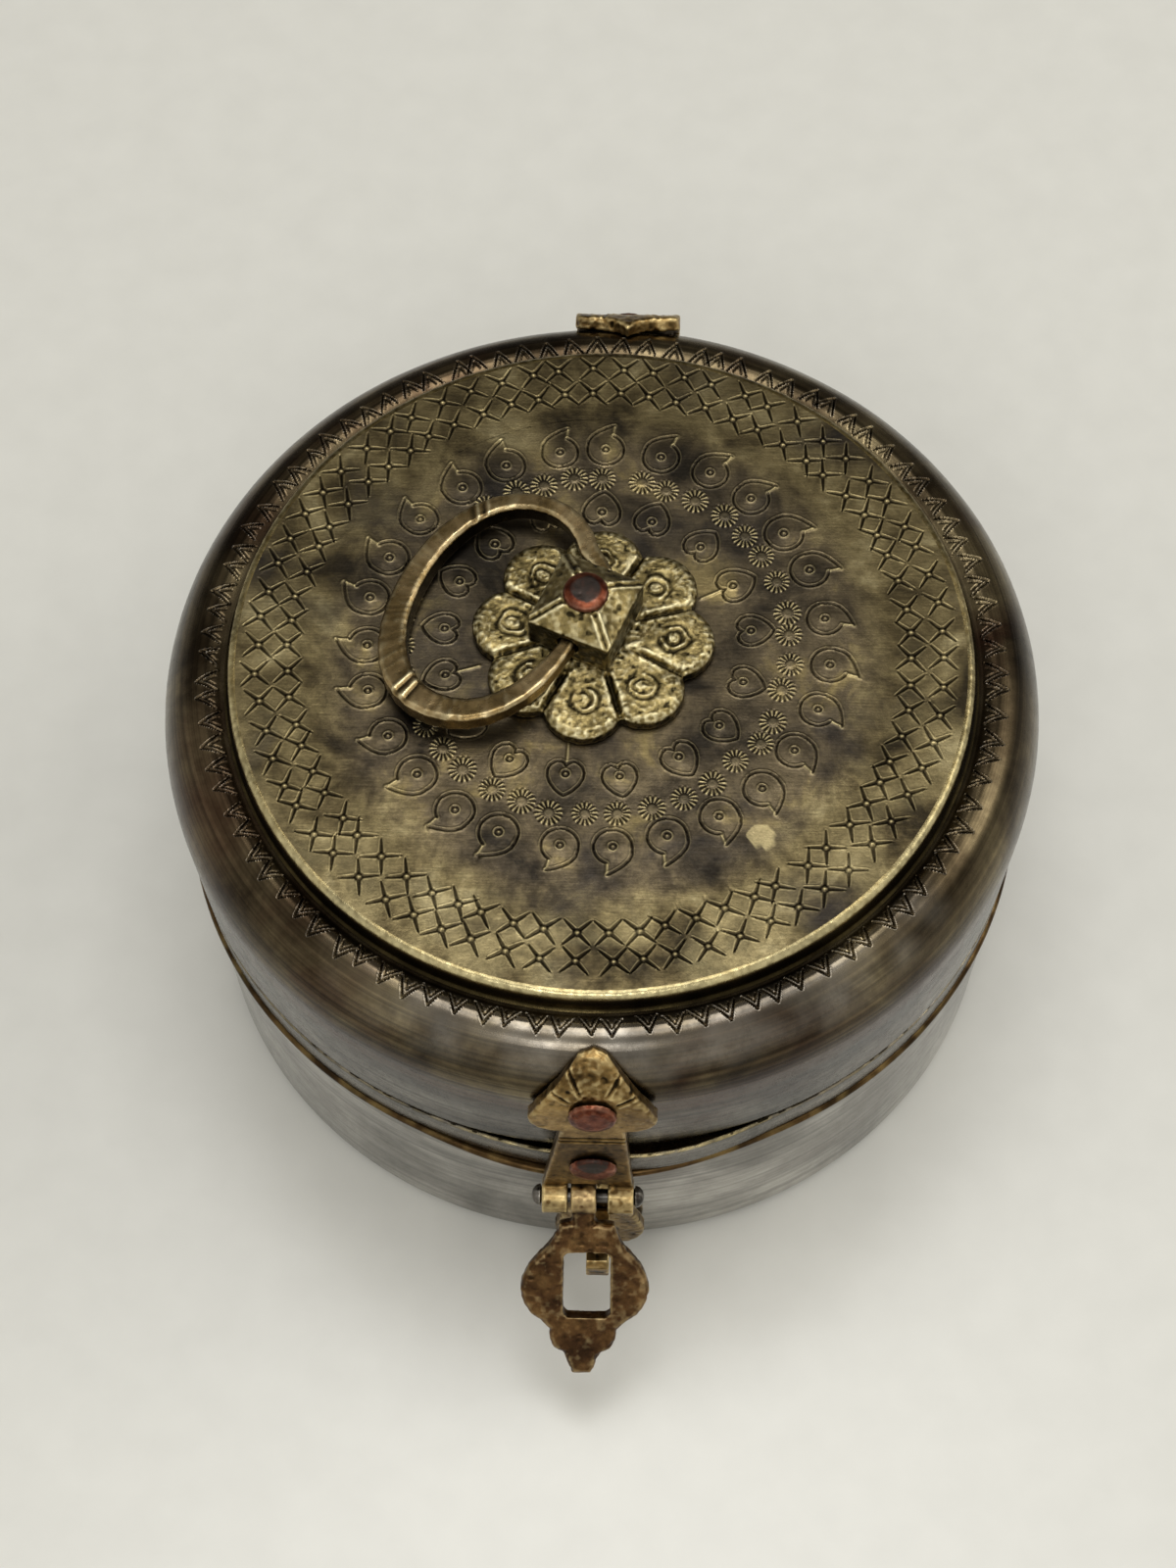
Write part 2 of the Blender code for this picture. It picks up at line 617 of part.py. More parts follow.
def smooth_points(points, steps):
    """Points of an even curve through the given ones, which it keeps."""
    path = [Vector(point) for point in points]
    result = []
    for index in range(len(path) - 1):
        before = path[max(index - 1, 0)]
        first, second = path[index], path[index + 1]
        after = path[min(index + 2, len(path) - 1)]
        for step in range(steps):
            share = step / steps
            bend = (second - before) * share + (2 * before - 5 * first + 4 * second - after) * share ** 2
            bend += (3 * first - before - 3 * second + after) * share ** 3
            result.append(tuple(first + bend / 2))
    result.append(tuple(path[-1]))
    return result


def rounded_rectangle(centre, size, corner):
    """Closed outline of a rectangle with round corners."""
    points = []
    for turn, (across, along) in enumerate(((1, 1), (-1, 1), (-1, -1), (1, -1))):
        middle = (centre[0] + across * (size[0] / 2 - corner), centre[1] + along * (size[1] / 2 - corner))
        points += arc(middle, corner, QUARTER * turn, QUARTER * (turn + 1), CORNER_STEPS // 2)
    return points


def prism_bmesh(outline, low, high):
    """A straight solid of an outline in X and Y between two heights."""
    bm = bmesh.new()
    foot = bm.faces.new([bm.verts.new((across, along, low)) for across, along in outline])
    raised = bmesh.ops.extrude_face_region(bm, geom=[foot])["geom"]
    top = [item for item in raised if isinstance(item, bmesh.types.BMVert)]
    bmesh.ops.translate(bm, verts=top, vec=(0.0, 0.0, high - low))
    return bm


def hasp(material):
    """Openwork hasp, modelled flat with its pin on local X, then hung on the clasp pin."""
    scale = (HASP_WIDTH / 2, HASP_LENGTH)
    neck = HASP_KNUCKLE_WIDTH / 2 - FINGER_INSET
    shift = -HASP_KNUCKLE_LEFT
    side = []
    for shares in (HASP_LOBE_SHARES, HASP_SIDE_LOBE_SHARES, HASP_TONGUE_SHARES):
        side += smooth_points([(share * scale[0], down * scale[1]) for share, down in shares], 2)
    start = HASP_NECK_SHARE * HASP_LENGTH
    right = [(across - down * HASP_LEAN_SHARE, down) for across, down in side]
    left = [(-across - down * HASP_LEAN_SHARE, down) for across, down in reversed(side)]
    outline = [(shift + neck, 0.0), (shift + neck, start)] + right + left
    outline += [(shift - neck, start), (shift - neck, 0.0)]
    bm = prism_bmesh(outline, -HASP_THICKNESS / 2, HASP_THICKNESS / 2)
    rims = [edge for edge in bm.edges if edge.verts[0].co.z == edge.verts[1].co.z]
    bmesh.ops.bevel(bm, geom=rims, offset=HASP_EDGE, offset_type="OFFSET", segments=1, affect="EDGES",
                    clamp_overlap=True)
    hang = Matrix.Rotation(-QUARTER, 4, "X")
    bm.transform(hang)
    plate = object_from(bm, "hasp", material)
    low = Vector((shift - HASP_KNUCKLE_WIDTH / 2, 0.0, 0.0))
    high = Vector((shift + HASP_KNUCKLE_WIDTH / 2, 0.0, 0.0))
    slot = rounded_rectangle((0.0, SLOT_START + SLOT_LENGTH / 2), (SLOT_WIDTH, SLOT_LENGTH), SLOT_ROUND)
    slot_bm = prism_bmesh(slot, -HASP_THICKNESS / 2 - OVERRUN, HASP_THICKNESS / 2 + OVERRUN)
    slot_bm.transform(hang)
    place = Matrix.Translation(CLASP_AXIS)
    turn = Matrix.Rotation(math.radians(-HASP_REST_ANGLE), 4, "X")
    barrel = helper(cylinder_bmesh(low, high, KNUCKLE_RADIUS, BARREL_STEPS), "hasp_knuckle")
    window = helper(slot_bm, "hasp_slot")
    along = Vector((OVERRUN, 0.0, 0.0))
    bore = helper(cylinder_bmesh(low - along, high + along, PIN_RADIUS + PIN_CLEARANCE, SHANK_STEPS),
                  "hasp_pin_hole")
    for piece in (plate, barrel, window, bore):
        piece.matrix_world = place @ turn
    combine(plate, barrel, "UNION")
    combine(plate, window, "DIFFERENCE")
    combine(plate, bore, "DIFFERENCE")
    return plate


def wall_path():
    """Line up the base's wall, from the table."""
    return Path([(wall_radius(0.0) + GAP, 0.0), (wall_radius(WALL_TOP) + GAP, WALL_TOP)])


def staple_plate(material):
    """Spade plate on the base, its leaf pointing up."""
    half = [(0.0, STAPLE_PLATE_FOOT), (STRAP_TOP_WIDTH / 2, STAPLE_PLATE_FOOT)]
    half += leaf_half(STAPLE_PLATE_FOOT, STAPLE_PLATE_WIDTH, STAPLE_PLATE_LENGTH, LEAF_SHARES)
    outline = [(across + STAPLE_SHIFT, along) for across, along in mirrored(half)]
    return bent_plate("staple_plate", outline, STAPLE_PLATE_THICKNESS, wall_path(), FRONT, material)


def staple_seat(up):
    """Seat on the staple plate's face at a length up the wall."""
    back, normal = wall_path().at(up)
    place = on_side(back + normal * STAPLE_PLATE_THICKNESS, FRONT) + Vector((STAPLE_SHIFT, 0.0, 0.0))
    return place, on_side(normal, FRONT), STAPLE_PLATE_THICKNESS + GAP + SHEET


def staple(seat, material):
    """Eyed lug with a tang through the plate and the wall, closed inside."""
    place, direction, grip = seat
    under = -grip - TAIL_STANDOFF
    lug_size = (STAPLE_DEPTH, STAPLE_LENGTH)
    lug_outline = rounded_rectangle((0.0, GAP + STAPLE_LENGTH / 2), lug_size, STAPLE_CORNER)
    lug_bm = prism_bmesh(lug_outline, -STAPLE_WIDTH / 2, STAPLE_WIDTH / 2)
    lug_bm.transform(Matrix(((0, 0, 1, 0), (1, 0, 0, 0), (0, 1, 0, 0), (0, 0, 0, 1))))
    lug = object_from(lug_bm, "staple", material)
    tang = [(0.0, GAP + STAPLE_CORNER), (STAPLE_TANG_RADIUS, GAP + STAPLE_CORNER), (STAPLE_TANG_RADIUS, under),
            (TAIL_RADIUS, under), (TAIL_RADIUS, under - TAIL_HEIGHT), (0.0, under - TAIL_HEIGHT)]
    tang_piece = helper(turned_bmesh(tang, SHANK_STEPS, closed=False), "staple_tang")
    across = Vector((STAPLE_WIDTH / 2 + OVERRUN, 0.0, 0.0))
    centre = Vector((0.0, 0.0, STAPLE_HOLE_REACH))
    eye = helper(cylinder_bmesh(centre - across, centre + across, STAPLE_HOLE_RADIUS, SHANK_STEPS), "staple_eye")
    frame = Matrix.Identity(3)
    frame.col[0] = Vector((1.0, 0.0, 0.0))
    frame.col[1] = direction.cross(frame.col[0])
    frame.col[2] = direction
    for piece in (lug, tang_piece, eye):
        piece.matrix_world = Matrix.Translation(place) @ frame.to_4x4()
    combine(lug, tang_piece, "UNION")
    combine(lug, eye, "DIFFERENCE")
    return lug


def base_hinge_path():
    """Line of the base hinge plate's back: down past the ledge, then in to the wall."""
    back = HINGE_PIN_REACH - KNUCKLE_RADIUS + KNUCKLE_SEAT
    joggle_top = HINGE_PIN_HEIGHT - HINGE_JOGGLE_DROP
    joggle_foot = joggle_top - HINGE_JOGGLE_LENGTH
    return Path([(back, HINGE_PIN_HEIGHT), (back, joggle_top), (wall_radius(joggle_foot) + GAP, joggle_foot),
                 (wall_radius(BASE_PLATE_END) + GAP, BASE_PLATE_END)])


def base_hinge_plate(material):
    """Plate on the base, its leaf pointing down, with the hinge's middle knuckle."""
    path = base_hinge_path()
    notch = KNUCKLE_RADIUS + NOTCH_CLEARANCE
    knuckle = HINGE_KNUCKLE_SPACE / 2 - HINGE_MIDDLE_SIDE_GAP
    finger = knuckle - FINGER_INSET
    half = [(0.0, 0.0), (finger, 0.0), (finger, notch), (STRAP_TOP_WIDTH / 2, notch),
            (STRAP_TOP_WIDTH / 2, BASE_STRAP_LENGTH)]
    half += leaf_half(BASE_STRAP_LENGTH, HINGE_LEAF_WIDTH, HINGE_LEAF_LENGTH, HINGE_LEAF_SHARES)
    outline = [(across + HINGE_SHIFT, along) for across, along in mirrored(half)]
    plate = bent_plate("hinge_base_plate", outline, PLATE_THICKNESS, path, BACK, material)
    add_knuckles(plate, "hinge_base_plate", HINGE_AXIS, ((-knuckle, knuckle),))
    seats = []
    for share in BASE_RIVET_SHARES:
        back, normal = path.at(BASE_STRAP_LENGTH + HINGE_LEAF_LENGTH * share)
        place = Vector((HINGE_SHIFT, 0.0, 0.0)) + on_side(back + normal * PLATE_THICKNESS, BACK)
        seats.append((place, on_side(normal, BACK), PLATE_THICKNESS + GAP + SHEET))
    return plate, seats


def petal_radius(angle):
    """Distance from the rosette's middle to the edge of a petal, at an angle from its own middle."""
    side = PETAL_CENTRE * math.sin(angle)
    return PETAL_CENTRE * math.cos(angle) + math.sqrt(PETAL_RADIUS ** 2 - side ** 2)


def rosette(material):
    """Cast flower whose petals fall a little to their edges and are parted by filed grooves."""
    pitch = math.tau / ROSETTE_PETALS
    bm = bmesh.new()
    top = ROSETTE_THICKNESS
    levels = [[] for share in PETAL_RING_SHARES]
    rim = []
    foot = []
    for petal in range(ROSETTE_PETALS):
        for point in range(PETAL_POINTS):
            local = (point - PETAL_POINTS / 2) / PETAL_POINTS * pitch
            reach = petal_radius(local)
            angle = petal * pitch + local
            direction = Vector((math.cos(angle), math.sin(angle), 0.0))
            groove = PETAL_GROOVE if point == 0 else 0.0
            for level, share in zip(levels, PETAL_RING_SHARES):
                cut = 0.0 if share == PETAL_RING_SHARES[0] else groove
                height = top - PETAL_CROWN * share ** 2 - cut
                level.append(bm.verts.new(direction * reach * share + Vector((0.0, 0.0, height))))
            rim.append(bm.verts.new(direction * reach + Vector((0.0, 0.0, top - PETAL_CROWN - PETAL_GROOVE))))
            foot.append(bm.verts.new(direction * reach))
    bridge_rings(bm, levels + [rim, foot], around=False)
    piece = object_from(bm, "handle_rosette", material)
    piece.matrix_world = handle_place(ROSETTE_FOOT, ROSETTE_ANGLE, ROSETTE_PLACE)
    axis_hole(piece, "rosette_hole", ROSETTE_FOOT, ROSETTE_FOOT + ROSETTE_THICKNESS)
    return piece


def handle_place(height, angle, offset=HANDLE_PLACE):
    """Place of a handle piece on the panel, a little off the box's axis."""
    return Matrix.Translation((*offset, height)) @ Matrix.Rotation(math.radians(angle), 4, "Z")


def axis_hole(target, name, low, high):
    """Hole for the handle rivet through a piece, between two heights."""
    drill(target, name, Vector((*HANDLE_PLACE, low)), Vector((*HANDLE_PLACE, high)),
          HANDLE_SHANK_RADIUS + SHANK_CLEARANCE)


def block(material):
    """Square eye block with a low pyramid on top and the ring's hole through its foot."""
    bm = bmesh.new()
    levels = []
    for side, height in ((BLOCK_SIDE, 0.0), (BLOCK_SIDE, BLOCK_RIM), (BLOCK_SEAT, BLOCK_HEIGHT)):
        half = side / 2
        levels.append([bm.verts.new((half * x, half * y, height)) for x, y in ((1, 1), (-1, 1), (-1, -1), (1, -1))])
    bridge_rings(bm, levels, around=False)
    upright = [edge for edge in bm.edges if edge.verts[0].co.xy == edge.verts[1].co.xy]
    bmesh.ops.bevel(bm, geom=upright, offset=BLOCK_EDGE, offset_type="OFFSET", segments=1, affect="EDGES",
                    clamp_overlap=True)
    piece = object_from(bm, "handle_block", material)
    piece.matrix_world = handle_place(BLOCK_FOOT, BLOCK_ANGLE)
    axis_hole(piece, "block_hole", BLOCK_FOOT, BLOCK_FOOT + BLOCK_HEIGHT)
    centre = Vector((*HANDLE_PLACE, RING_PIVOT_HEIGHT))
    turn = math.radians(BLOCK_ANGLE)
    along = Vector((math.cos(turn), math.sin(turn), 0.0)) * (BLOCK_SIDE / 2)
    drill(piece, "ring_hole", centre - along, centre + along, RING_HOLE_RADIUS, BARREL_STEPS)
    return piece


def handle_rivet(material):
    """Rivet through the block, the rosette, the panel and the washer."""
    top = BLOCK_FOOT + BLOCK_HEIGHT
    under = PANEL_TOP - SHEET - GAP - WASHER_THICKNESS - GAP - top
    outline = [(share * HANDLE_HEAD_RADIUS, GAP + up * HEAD_HEIGHT) for share, up in HEAD_SHARES]
    outline += [(HANDLE_SHANK_RADIUS, GAP), (HANDLE_SHANK_RADIUS, under), (HANDLE_TAIL_RADIUS, under),
                (HANDLE_TAIL_RADIUS, under - TAIL_HEIGHT), (0.0, under - TAIL_HEIGHT)]
    piece = turned("handle_rivet", outline, BARREL_STEPS, material)
    piece.matrix_world = handle_place(top, 0.0)
    return piece


def washer(material):
    """Round plate under the panel that the handle rivet is closed on."""
    hole = HANDLE_SHANK_RADIUS + SHANK_CLEARANCE
    outline = [(hole, 0.0), (WASHER_RADIUS, 0.0), (WASHER_RADIUS, WASHER_THICKNESS), (hole, WASHER_THICKNESS)]
    piece = turned("handle_washer", outline, BARREL_STEPS, material, closed=True)
    piece.matrix_world = handle_place(PANEL_TOP - SHEET - GAP - WASHER_THICKNESS, 0.0)
    return piece


def table_value(shares, share):
    """Value of a table of (share, value) pairs, read between its entries."""
    for (low, first), (high, second) in zip(shares, shares[1:]):
        if share <= high:
            return first + (second - first) * (share - low) / (high - low)
    return shares[-1][1]


def ring_line():
    """Stations of the ring: along the hole's line, out from it, and the share of the way round."""
    half_block = BLOCK_SIDE / 2 + GAP
    inside = BLOCK_SIDE / 2 - RING_END_INSIDE
    stations = [(inside, 0.0, 0.0)]
    first = math.asin((half_block + RING_BACK) / RING_HALF_LENGTH) - QUARTER
    last = 3 * QUARTER - math.asin((half_block - RING_BACK) / RING_HALF_LENGTH)
    for step in range(RING_STATIONS + 1):
        share = step / RING_STATIONS
        turn = first + (last - first) * share
        across = math.copysign(abs(math.cos(turn)) ** (2 / RING_ROUND_POWER), math.cos(turn))
        out = math.copysign(abs(math.sin(turn)) ** (2 / RING_ROUND_POWER), math.sin(turn))
        place = RING_HALF_LENGTH * across - RING_BACK
        height = RING_HALF_HEIGHT * (1 + out)
        blend = min(max((abs(place) - half_block) / RING_LEG_BLEND, 0.0), 1.0) if out < 0 else 1.0
        stations.append((place, height * blend * blend * (3 - 2 * blend), share))
    stations.append((-inside, 0.0, 1.0))
    return stations


def ring(material):
    """Ring handle: a chamfered rectangular section swept along an oval, thinner at its ends."""
    stations = ring_line()
    bm = bmesh.new()
    corner = 1 - RING_CORNER_SHARE
    section = ((1, corner), (corner, 1), (-corner, 1), (-1, corner), (-1, -corner), (-corner, -1), (corner, -1),
               (1, -corner))
    rings = []
    for index, (across, out, share) in enumerate(stations):
        before = Vector(stations[max(index - 1, 0)][:2])
        after = Vector(stations[min(index + 1, len(stations) - 1)][:2])
        run = (after - before).normalized()
        side = Vector((-run.y, run.x))
        half_width = RING_WIDTH * table_value(RING_WIDTH_SHARES, share) / 2
        rise = min(out / RING_HALF_HEIGHT, 1.0)
        half_thickness = (RING_END_SIZE + (RING_THICKNESS - RING_END_SIZE) * rise) / 2
        points = []
        for wide, thick in section:
            point = Vector((across, out)) + side * half_width * wide
            points.append(bm.verts.new((point.x, point.y, half_thickness * thick)))
        rings.append(points)
    bridge_rings(bm, rings, around=False)
    piece = object_from(bm, "handle_ring", material)
    drop = RING_PIVOT_HEIGHT - PANEL_TOP - RING_FLOOR_CLEARANCE
    reach = RING_HALF_HEIGHT * 2 + RING_WIDTH / 2
    half = RING_THICKNESS / 2
    tilt = math.asin((drop - half) / math.hypot(reach, half))
    piece.matrix_world = handle_place(RING_PIVOT_HEIGHT, BLOCK_ANGLE) @ Matrix.Rotation(-tilt, 4, "X")
    return piece


def main():
    for item in list(bpy.data.objects):
        bpy.data.objects.remove(item, do_unlink=True)

    aged_brass = metal("aged_brass", srgb(112, 96, 58), 0.42)
    skirt_brass = metal("grey_brass", srgb(120, 112, 98), 0.36)
    rim_brass = metal("olive_brass", srgb(118, 98, 52), 0.40)
    cast_brass = metal("cast_brass", srgb(158, 136, 82), 0.46)
    hasp_brass = metal("pitted_brass", srgb(118, 94, 58), 0.55)
    ring_brass = metal("bronze_brown", srgb(128, 104, 66), 0.40)
    copper = metal("copper", srgb(128, 74, 58), 0.45)
    iron = metal("dark_iron", srgb(70, 68, 66), 0.50)

    base = base_bowl(skirt_brass)
    base_rim(rim_brass)
    lid = lid_shell(aged_brass)
    lid_band(skirt_brass)

    clasp_leaf = (LEAF_WIDTH, LEAF_LENGTH, LEAF_SHARES)
    clasp, leaf_seat, strap_seat = lid_plate("clasp_plate", CLASP_AXIS, CLASP_KNUCKLE_SPACE, FRONT,
                                             CLASP_LEAF_SHIFT, clasp_leaf, cast_brass)
    for label, seat in (("clasp_leaf_rivet", leaf_seat), ("clasp_strap_rivet", strap_seat)):
        rivet(label, seat, HEAD_RADIUS, copper)
        rivet_hole(f"{label}_hole", seat, clasp)
        rivet_hole(f"{label}_lid_hole", seat, lid)
    clasp_half = CLASP_KNUCKLE_SPACE / 2 + KNUCKLE_WIDTH + GAP
    pin("clasp_pin", CLASP_AXIS, clasp_half, iron)
    hasp(hasp_brass)

    plate = staple_plate(cast_brass)
    lug_seat = staple_seat(BASE_HEIGHT + CLASP_PIN_UP - STAPLE_DROP)
    staple(lug_seat, cast_brass)
    place, direction, grip = lug_seat
    for target, label in ((plate, "staple_plate_tang_hole"), (base, "base_tang_hole")):
        drill(target, label, place - direction * grip, place, STAPLE_TANG_RADIUS + SHANK_CLEARANCE)
    small_seat = staple_seat(STAPLE_PLATE_FOOT + STAPLE_RIVET_UP)
    rivet("staple_rivet", small_seat, HEAD_RADIUS * SMALL_HEAD_SHARE, copper)
    rivet_hole("staple_plate_rivet_hole", small_seat, plate)
    rivet_hole("base_staple_rivet_hole", small_seat, base)

    hinge_leaf = (HINGE_LEAF_WIDTH, HINGE_LEAF_LENGTH, HINGE_LEAF_SHARES)
    hinge, leaf_seat, strap_seat = lid_plate("hinge_lid_plate", HINGE_AXIS, HINGE_KNUCKLE_SPACE, BACK,
                                             HINGE_SHIFT, hinge_leaf, cast_brass)
    for label, seat in (("hinge_lid_leaf_rivet", leaf_seat), ("hinge_lid_strap_rivet", strap_seat)):
        rivet(label, seat, HEAD_RADIUS, copper)
        rivet_hole(f"{label}_hole", seat, hinge)
        rivet_hole(f"{label}_lid_hole", seat, lid)
    base_plate, seats = base_hinge_plate(cast_brass)
    for label, seat in zip(("hinge_base_upper_rivet", "hinge_base_lower_rivet"), seats):
        rivet(label, seat, HEAD_RADIUS * SMALL_HEAD_SHARE, copper)
        rivet_hole(f"{label}_hole", seat, base_plate)
        rivet_hole(f"{label}_base_hole", seat, base)
    hinge_half = HINGE_KNUCKLE_SPACE / 2 + KNUCKLE_WIDTH + GAP
    pin("hinge_pin", HINGE_AXIS, hinge_half, iron)

    rosette(cast_brass)
    block(cast_brass)
    handle_rivet(copper)
    washer(cast_brass)
    ring(ring_brass)
    axis_hole(lid, "panel_hole", PANEL_TOP - SHEET, PANEL_TOP)


main()
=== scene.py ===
# %% [markdown]
# # A round brass box with a ring handle and a hasp
# This lesson dresses a plain CAD model of a hinged brass box. The model gives every size and place.
# Here the plain solids get what a brazier's and a caster's tools leave behind: chased lines on the
# lid, lathe lines on the walls, rough cast skins, worn edges and old brown patina.
# Lengths are in metres, +Z is up, the foot rests on Z = 0 and the clasp faces -Y.

# %% Load the frame
import json
import math

import bpy
import numpy as np
from mathutils import Matrix, Vector

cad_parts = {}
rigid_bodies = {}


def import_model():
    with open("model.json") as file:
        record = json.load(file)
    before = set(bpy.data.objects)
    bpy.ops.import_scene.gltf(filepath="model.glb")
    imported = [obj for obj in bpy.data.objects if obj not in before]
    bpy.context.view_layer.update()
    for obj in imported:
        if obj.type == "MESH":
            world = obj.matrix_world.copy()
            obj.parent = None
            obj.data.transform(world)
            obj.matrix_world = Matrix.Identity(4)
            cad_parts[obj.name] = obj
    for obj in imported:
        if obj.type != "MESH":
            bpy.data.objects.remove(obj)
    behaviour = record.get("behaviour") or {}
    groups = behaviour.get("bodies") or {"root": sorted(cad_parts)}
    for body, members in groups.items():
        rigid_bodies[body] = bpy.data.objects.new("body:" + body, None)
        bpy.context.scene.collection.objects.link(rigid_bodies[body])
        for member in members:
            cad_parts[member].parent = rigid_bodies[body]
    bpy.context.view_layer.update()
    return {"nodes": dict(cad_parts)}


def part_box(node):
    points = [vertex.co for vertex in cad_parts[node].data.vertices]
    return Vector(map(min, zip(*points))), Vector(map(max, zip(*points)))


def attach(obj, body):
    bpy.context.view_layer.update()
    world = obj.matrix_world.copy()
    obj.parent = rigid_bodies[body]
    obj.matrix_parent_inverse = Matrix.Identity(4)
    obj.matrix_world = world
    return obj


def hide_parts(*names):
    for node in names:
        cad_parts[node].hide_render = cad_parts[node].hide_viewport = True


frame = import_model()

# %% [markdown]
# ## Units and colours
# The workshop thinks in millimetres, Blender in metres, so one factor turns the first into the second.
# Colours are picked as sRGB hex values, as on a paint card. The shader wants linear light,
# so one function turns every hex value.

# %% Units and colours
MM = 0.001
TURN = math.tau


def paint(hex_value):
    """Linear colour of an sRGB hex value such as "8C7A4F"."""
    def linear(share):
        return share / 12.92 if share <= 0.04045 else ((share + 0.055) / 1.055) ** 2.4
    return *(linear(int(hex_value[at:at + 2], 16) / 255) for at in (0, 2, 4)), 1.0


# %% [markdown]
# ## Camera
# The photograph looks down on the box from the clasp's side, about 62 degrees below the horizon,
# through a lens of 80 mm on a 36 mm wide sensor. The camera leans by one degree.

# %% Camera
CAMERA_PLACE = (0.01325, -0.37876, 0.74982)
CAMERA_DIP = 61.54
CAMERA_ROLL = -1.03
CAMERA_LENS, SENSOR_WIDTH = 80.08, 36
BOX_TURN = 2.5            # degrees by which the box is turned to the picture


def aim_camera():
    dip, roll = math.radians(CAMERA_DIP), math.radians(CAMERA_ROLL)
    turned = Matrix.Rotation(math.radians(BOX_TURN), 3, "Z")
    ahead = turned @ Vector((0, math.cos(dip), -math.sin(dip)))
    right = turned @ Vector((1, 0, 0))
    up = right.cross(ahead)
    place = Matrix.Identity(4)
    place.col[0][:3] = right * math.cos(roll) + up * math.sin(roll)
    place.col[1][:3] = up * math.cos(roll) - right * math.sin(roll)
    place.col[2][:3] = -ahead
    place.translation = CAMERA_PLACE
    camera = bpy.data.objects.new("camera", bpy.data.cameras.new("camera"))
    camera.matrix_world = place
    camera.data.lens = CAMERA_LENS
    camera.data.sensor_width = SENSOR_WIDTH
    camera.data.clip_start = 0.01
    bpy.context.scene.collection.objects.link(camera)
    bpy.context.scene.camera = camera


aim_camera()
print("camera", CAMERA_LENS, "mm")

# %% [markdown]
# ## Placing shader nodes
# Every material below is a tree of nodes. One small function adds a node, sets its properties and
# its sockets, and links a socket wherever the value given is another node's output.

# %% Placing shader nodes


def add_node(tree, kind, inputs=(), out=0, stops=(), **settings):
    """Add a node and give back one of its outputs. Inputs are values or sockets to link.

    Stops are the (place, colour) pairs of a ramp.
    """
    made = tree.nodes.new("ShaderNode" + kind)
    for name, value in settings.items():
        setattr(made, name, value)
    for socket, value in dict(inputs).items():
        if isinstance(value, bpy.types.NodeSocket):
            tree.links.new(value, made.inputs[socket])
        else:
            made.inputs[socket].default_value = value
    if stops:
        ramp = made.color_ramp.elements
        while len(ramp) < len(stops):
            ramp.new(0.5)
        for element, (place, colour) in zip(ramp, stops):
            element.position = place
            element.color = colour
    return made.outputs[out]


# %% [markdown]
# ## Old metal
# All the metals here are old and unlacquered. Air and fingers turn brass brown, then olive and
# nearly black, while edges and raised lines are rubbed back to gold. One recipe holds what they
# share. It is built in layers, each a function that gives the colour back with one more layer on it.
# The first layer is patches of patina. Some pieces have a second palette that takes over along
# their height or their radius, with an uneven border, because hands reach one part more than another.

# %% Patches of patina
NOISE_MIDDLE = 0.51       # the value that the noise takes most often
WANDER = 14               # mm by which the border between two palettes strays
BORDER_CORE, BORDER_SHARE = 0.1, 0.75
MIX_COLOUR = {"data_type": "RGBA", "out": 2}      # sockets 6 and 7 then take the colours


def per_mm(size):
    """A noise's scale for features of a size in mm."""
    return 1 / (size * MM)


def seen_from_axis(tree, place):
    """A place's height, its flat part and its distance from the box's axis."""
    height = add_node(tree, "SeparateXYZ", {0: place}, 2)
    flat = add_node(tree, "VectorMath", {0: place, 1: (1.0, 1.0, 0.0)}, operation="MULTIPLY")
    return height, flat, add_node(tree, "VectorMath", {0: flat}, "Value", operation="LENGTH")


def patina(tree, place, patch, spread, tones, far):
    """Broad patches of colour. Far is None or (tones, "height" or "radius", span in mm, border)."""
    patches = add_node(tree, "TexNoise", {"Vector": place, "Scale": per_mm(patch), "Detail": 9.0,
                                          "Roughness": 0.62, "Distortion": 0.4})
    colours = []
    for row in (tones, far[0]) if far else (tones,):
        places = np.linspace(NOISE_MIDDLE - spread / 2, NOISE_MIDDLE + spread / 2, len(row))
        stops = list(zip(places, map(paint, row)))
        colours.append(add_node(tree, "ValToRGB", {"Fac": patches}, stops=stops))
    if not far:
        return colours[0]
    _, along, span, border = far
    height, _, radius = seen_from_axis(tree, place)
    measure = height if along == "height" else radius
    strayed = add_node(tree, "Math", {0: patches, 1: WANDER * MM, 2: measure}, operation="MULTIPLY_ADD")
    start, end = ((at + WANDER / 2) * MM for at in span)
    beyond = add_node(tree, "MapRange", {0: strayed, 1: start, 2: end})
    colour = add_node(tree, "Mix", {"Factor": beyond, 6: colours[0], 7: colours[1]}, **MIX_COLOUR)
    if border:
        off = add_node(tree, "Math", {0: beyond, 1: 0.5}, operation="SUBTRACT")
        off = add_node(tree, "Math", {0: off}, operation="ABSOLUTE")
        share = add_node(tree, "MapRange", {0: off, 1: 0.5, 2: BORDER_CORE, 4: BORDER_SHARE})
        colour = add_node(tree, "Mix", {"Factor": share, 6: colour, 7: paint(border)}, **MIX_COLOUR)
    return colour


# %% [markdown]
# The second layer is what happened to the patches. A fine mottle lightens and darkens them,
# stains lie over them as clouds, and wiping leaves hair scratches in three directions.

# %% Mottle, stains and scratches
STAIN_SIZE = 0.62         # clouds of stain to one patch of patina
SCRATCH_TURNS, SCRATCH_PITCH, SCRATCH_STRETCH = (0.5, -0.8, 1.9), 0.35, 0.06


def lighten(tree, colour, noise, low, high, strength):
    """The colour made darker where the noise is low and lighter where it is high."""
    shade = add_node(tree, "MapRange", {0: noise, 1: low, 2: high, 3: 1 - strength, 4: 1 + strength})
    return add_node(tree, "VectorMath", {0: colour, "Scale": shade}, operation="SCALE")


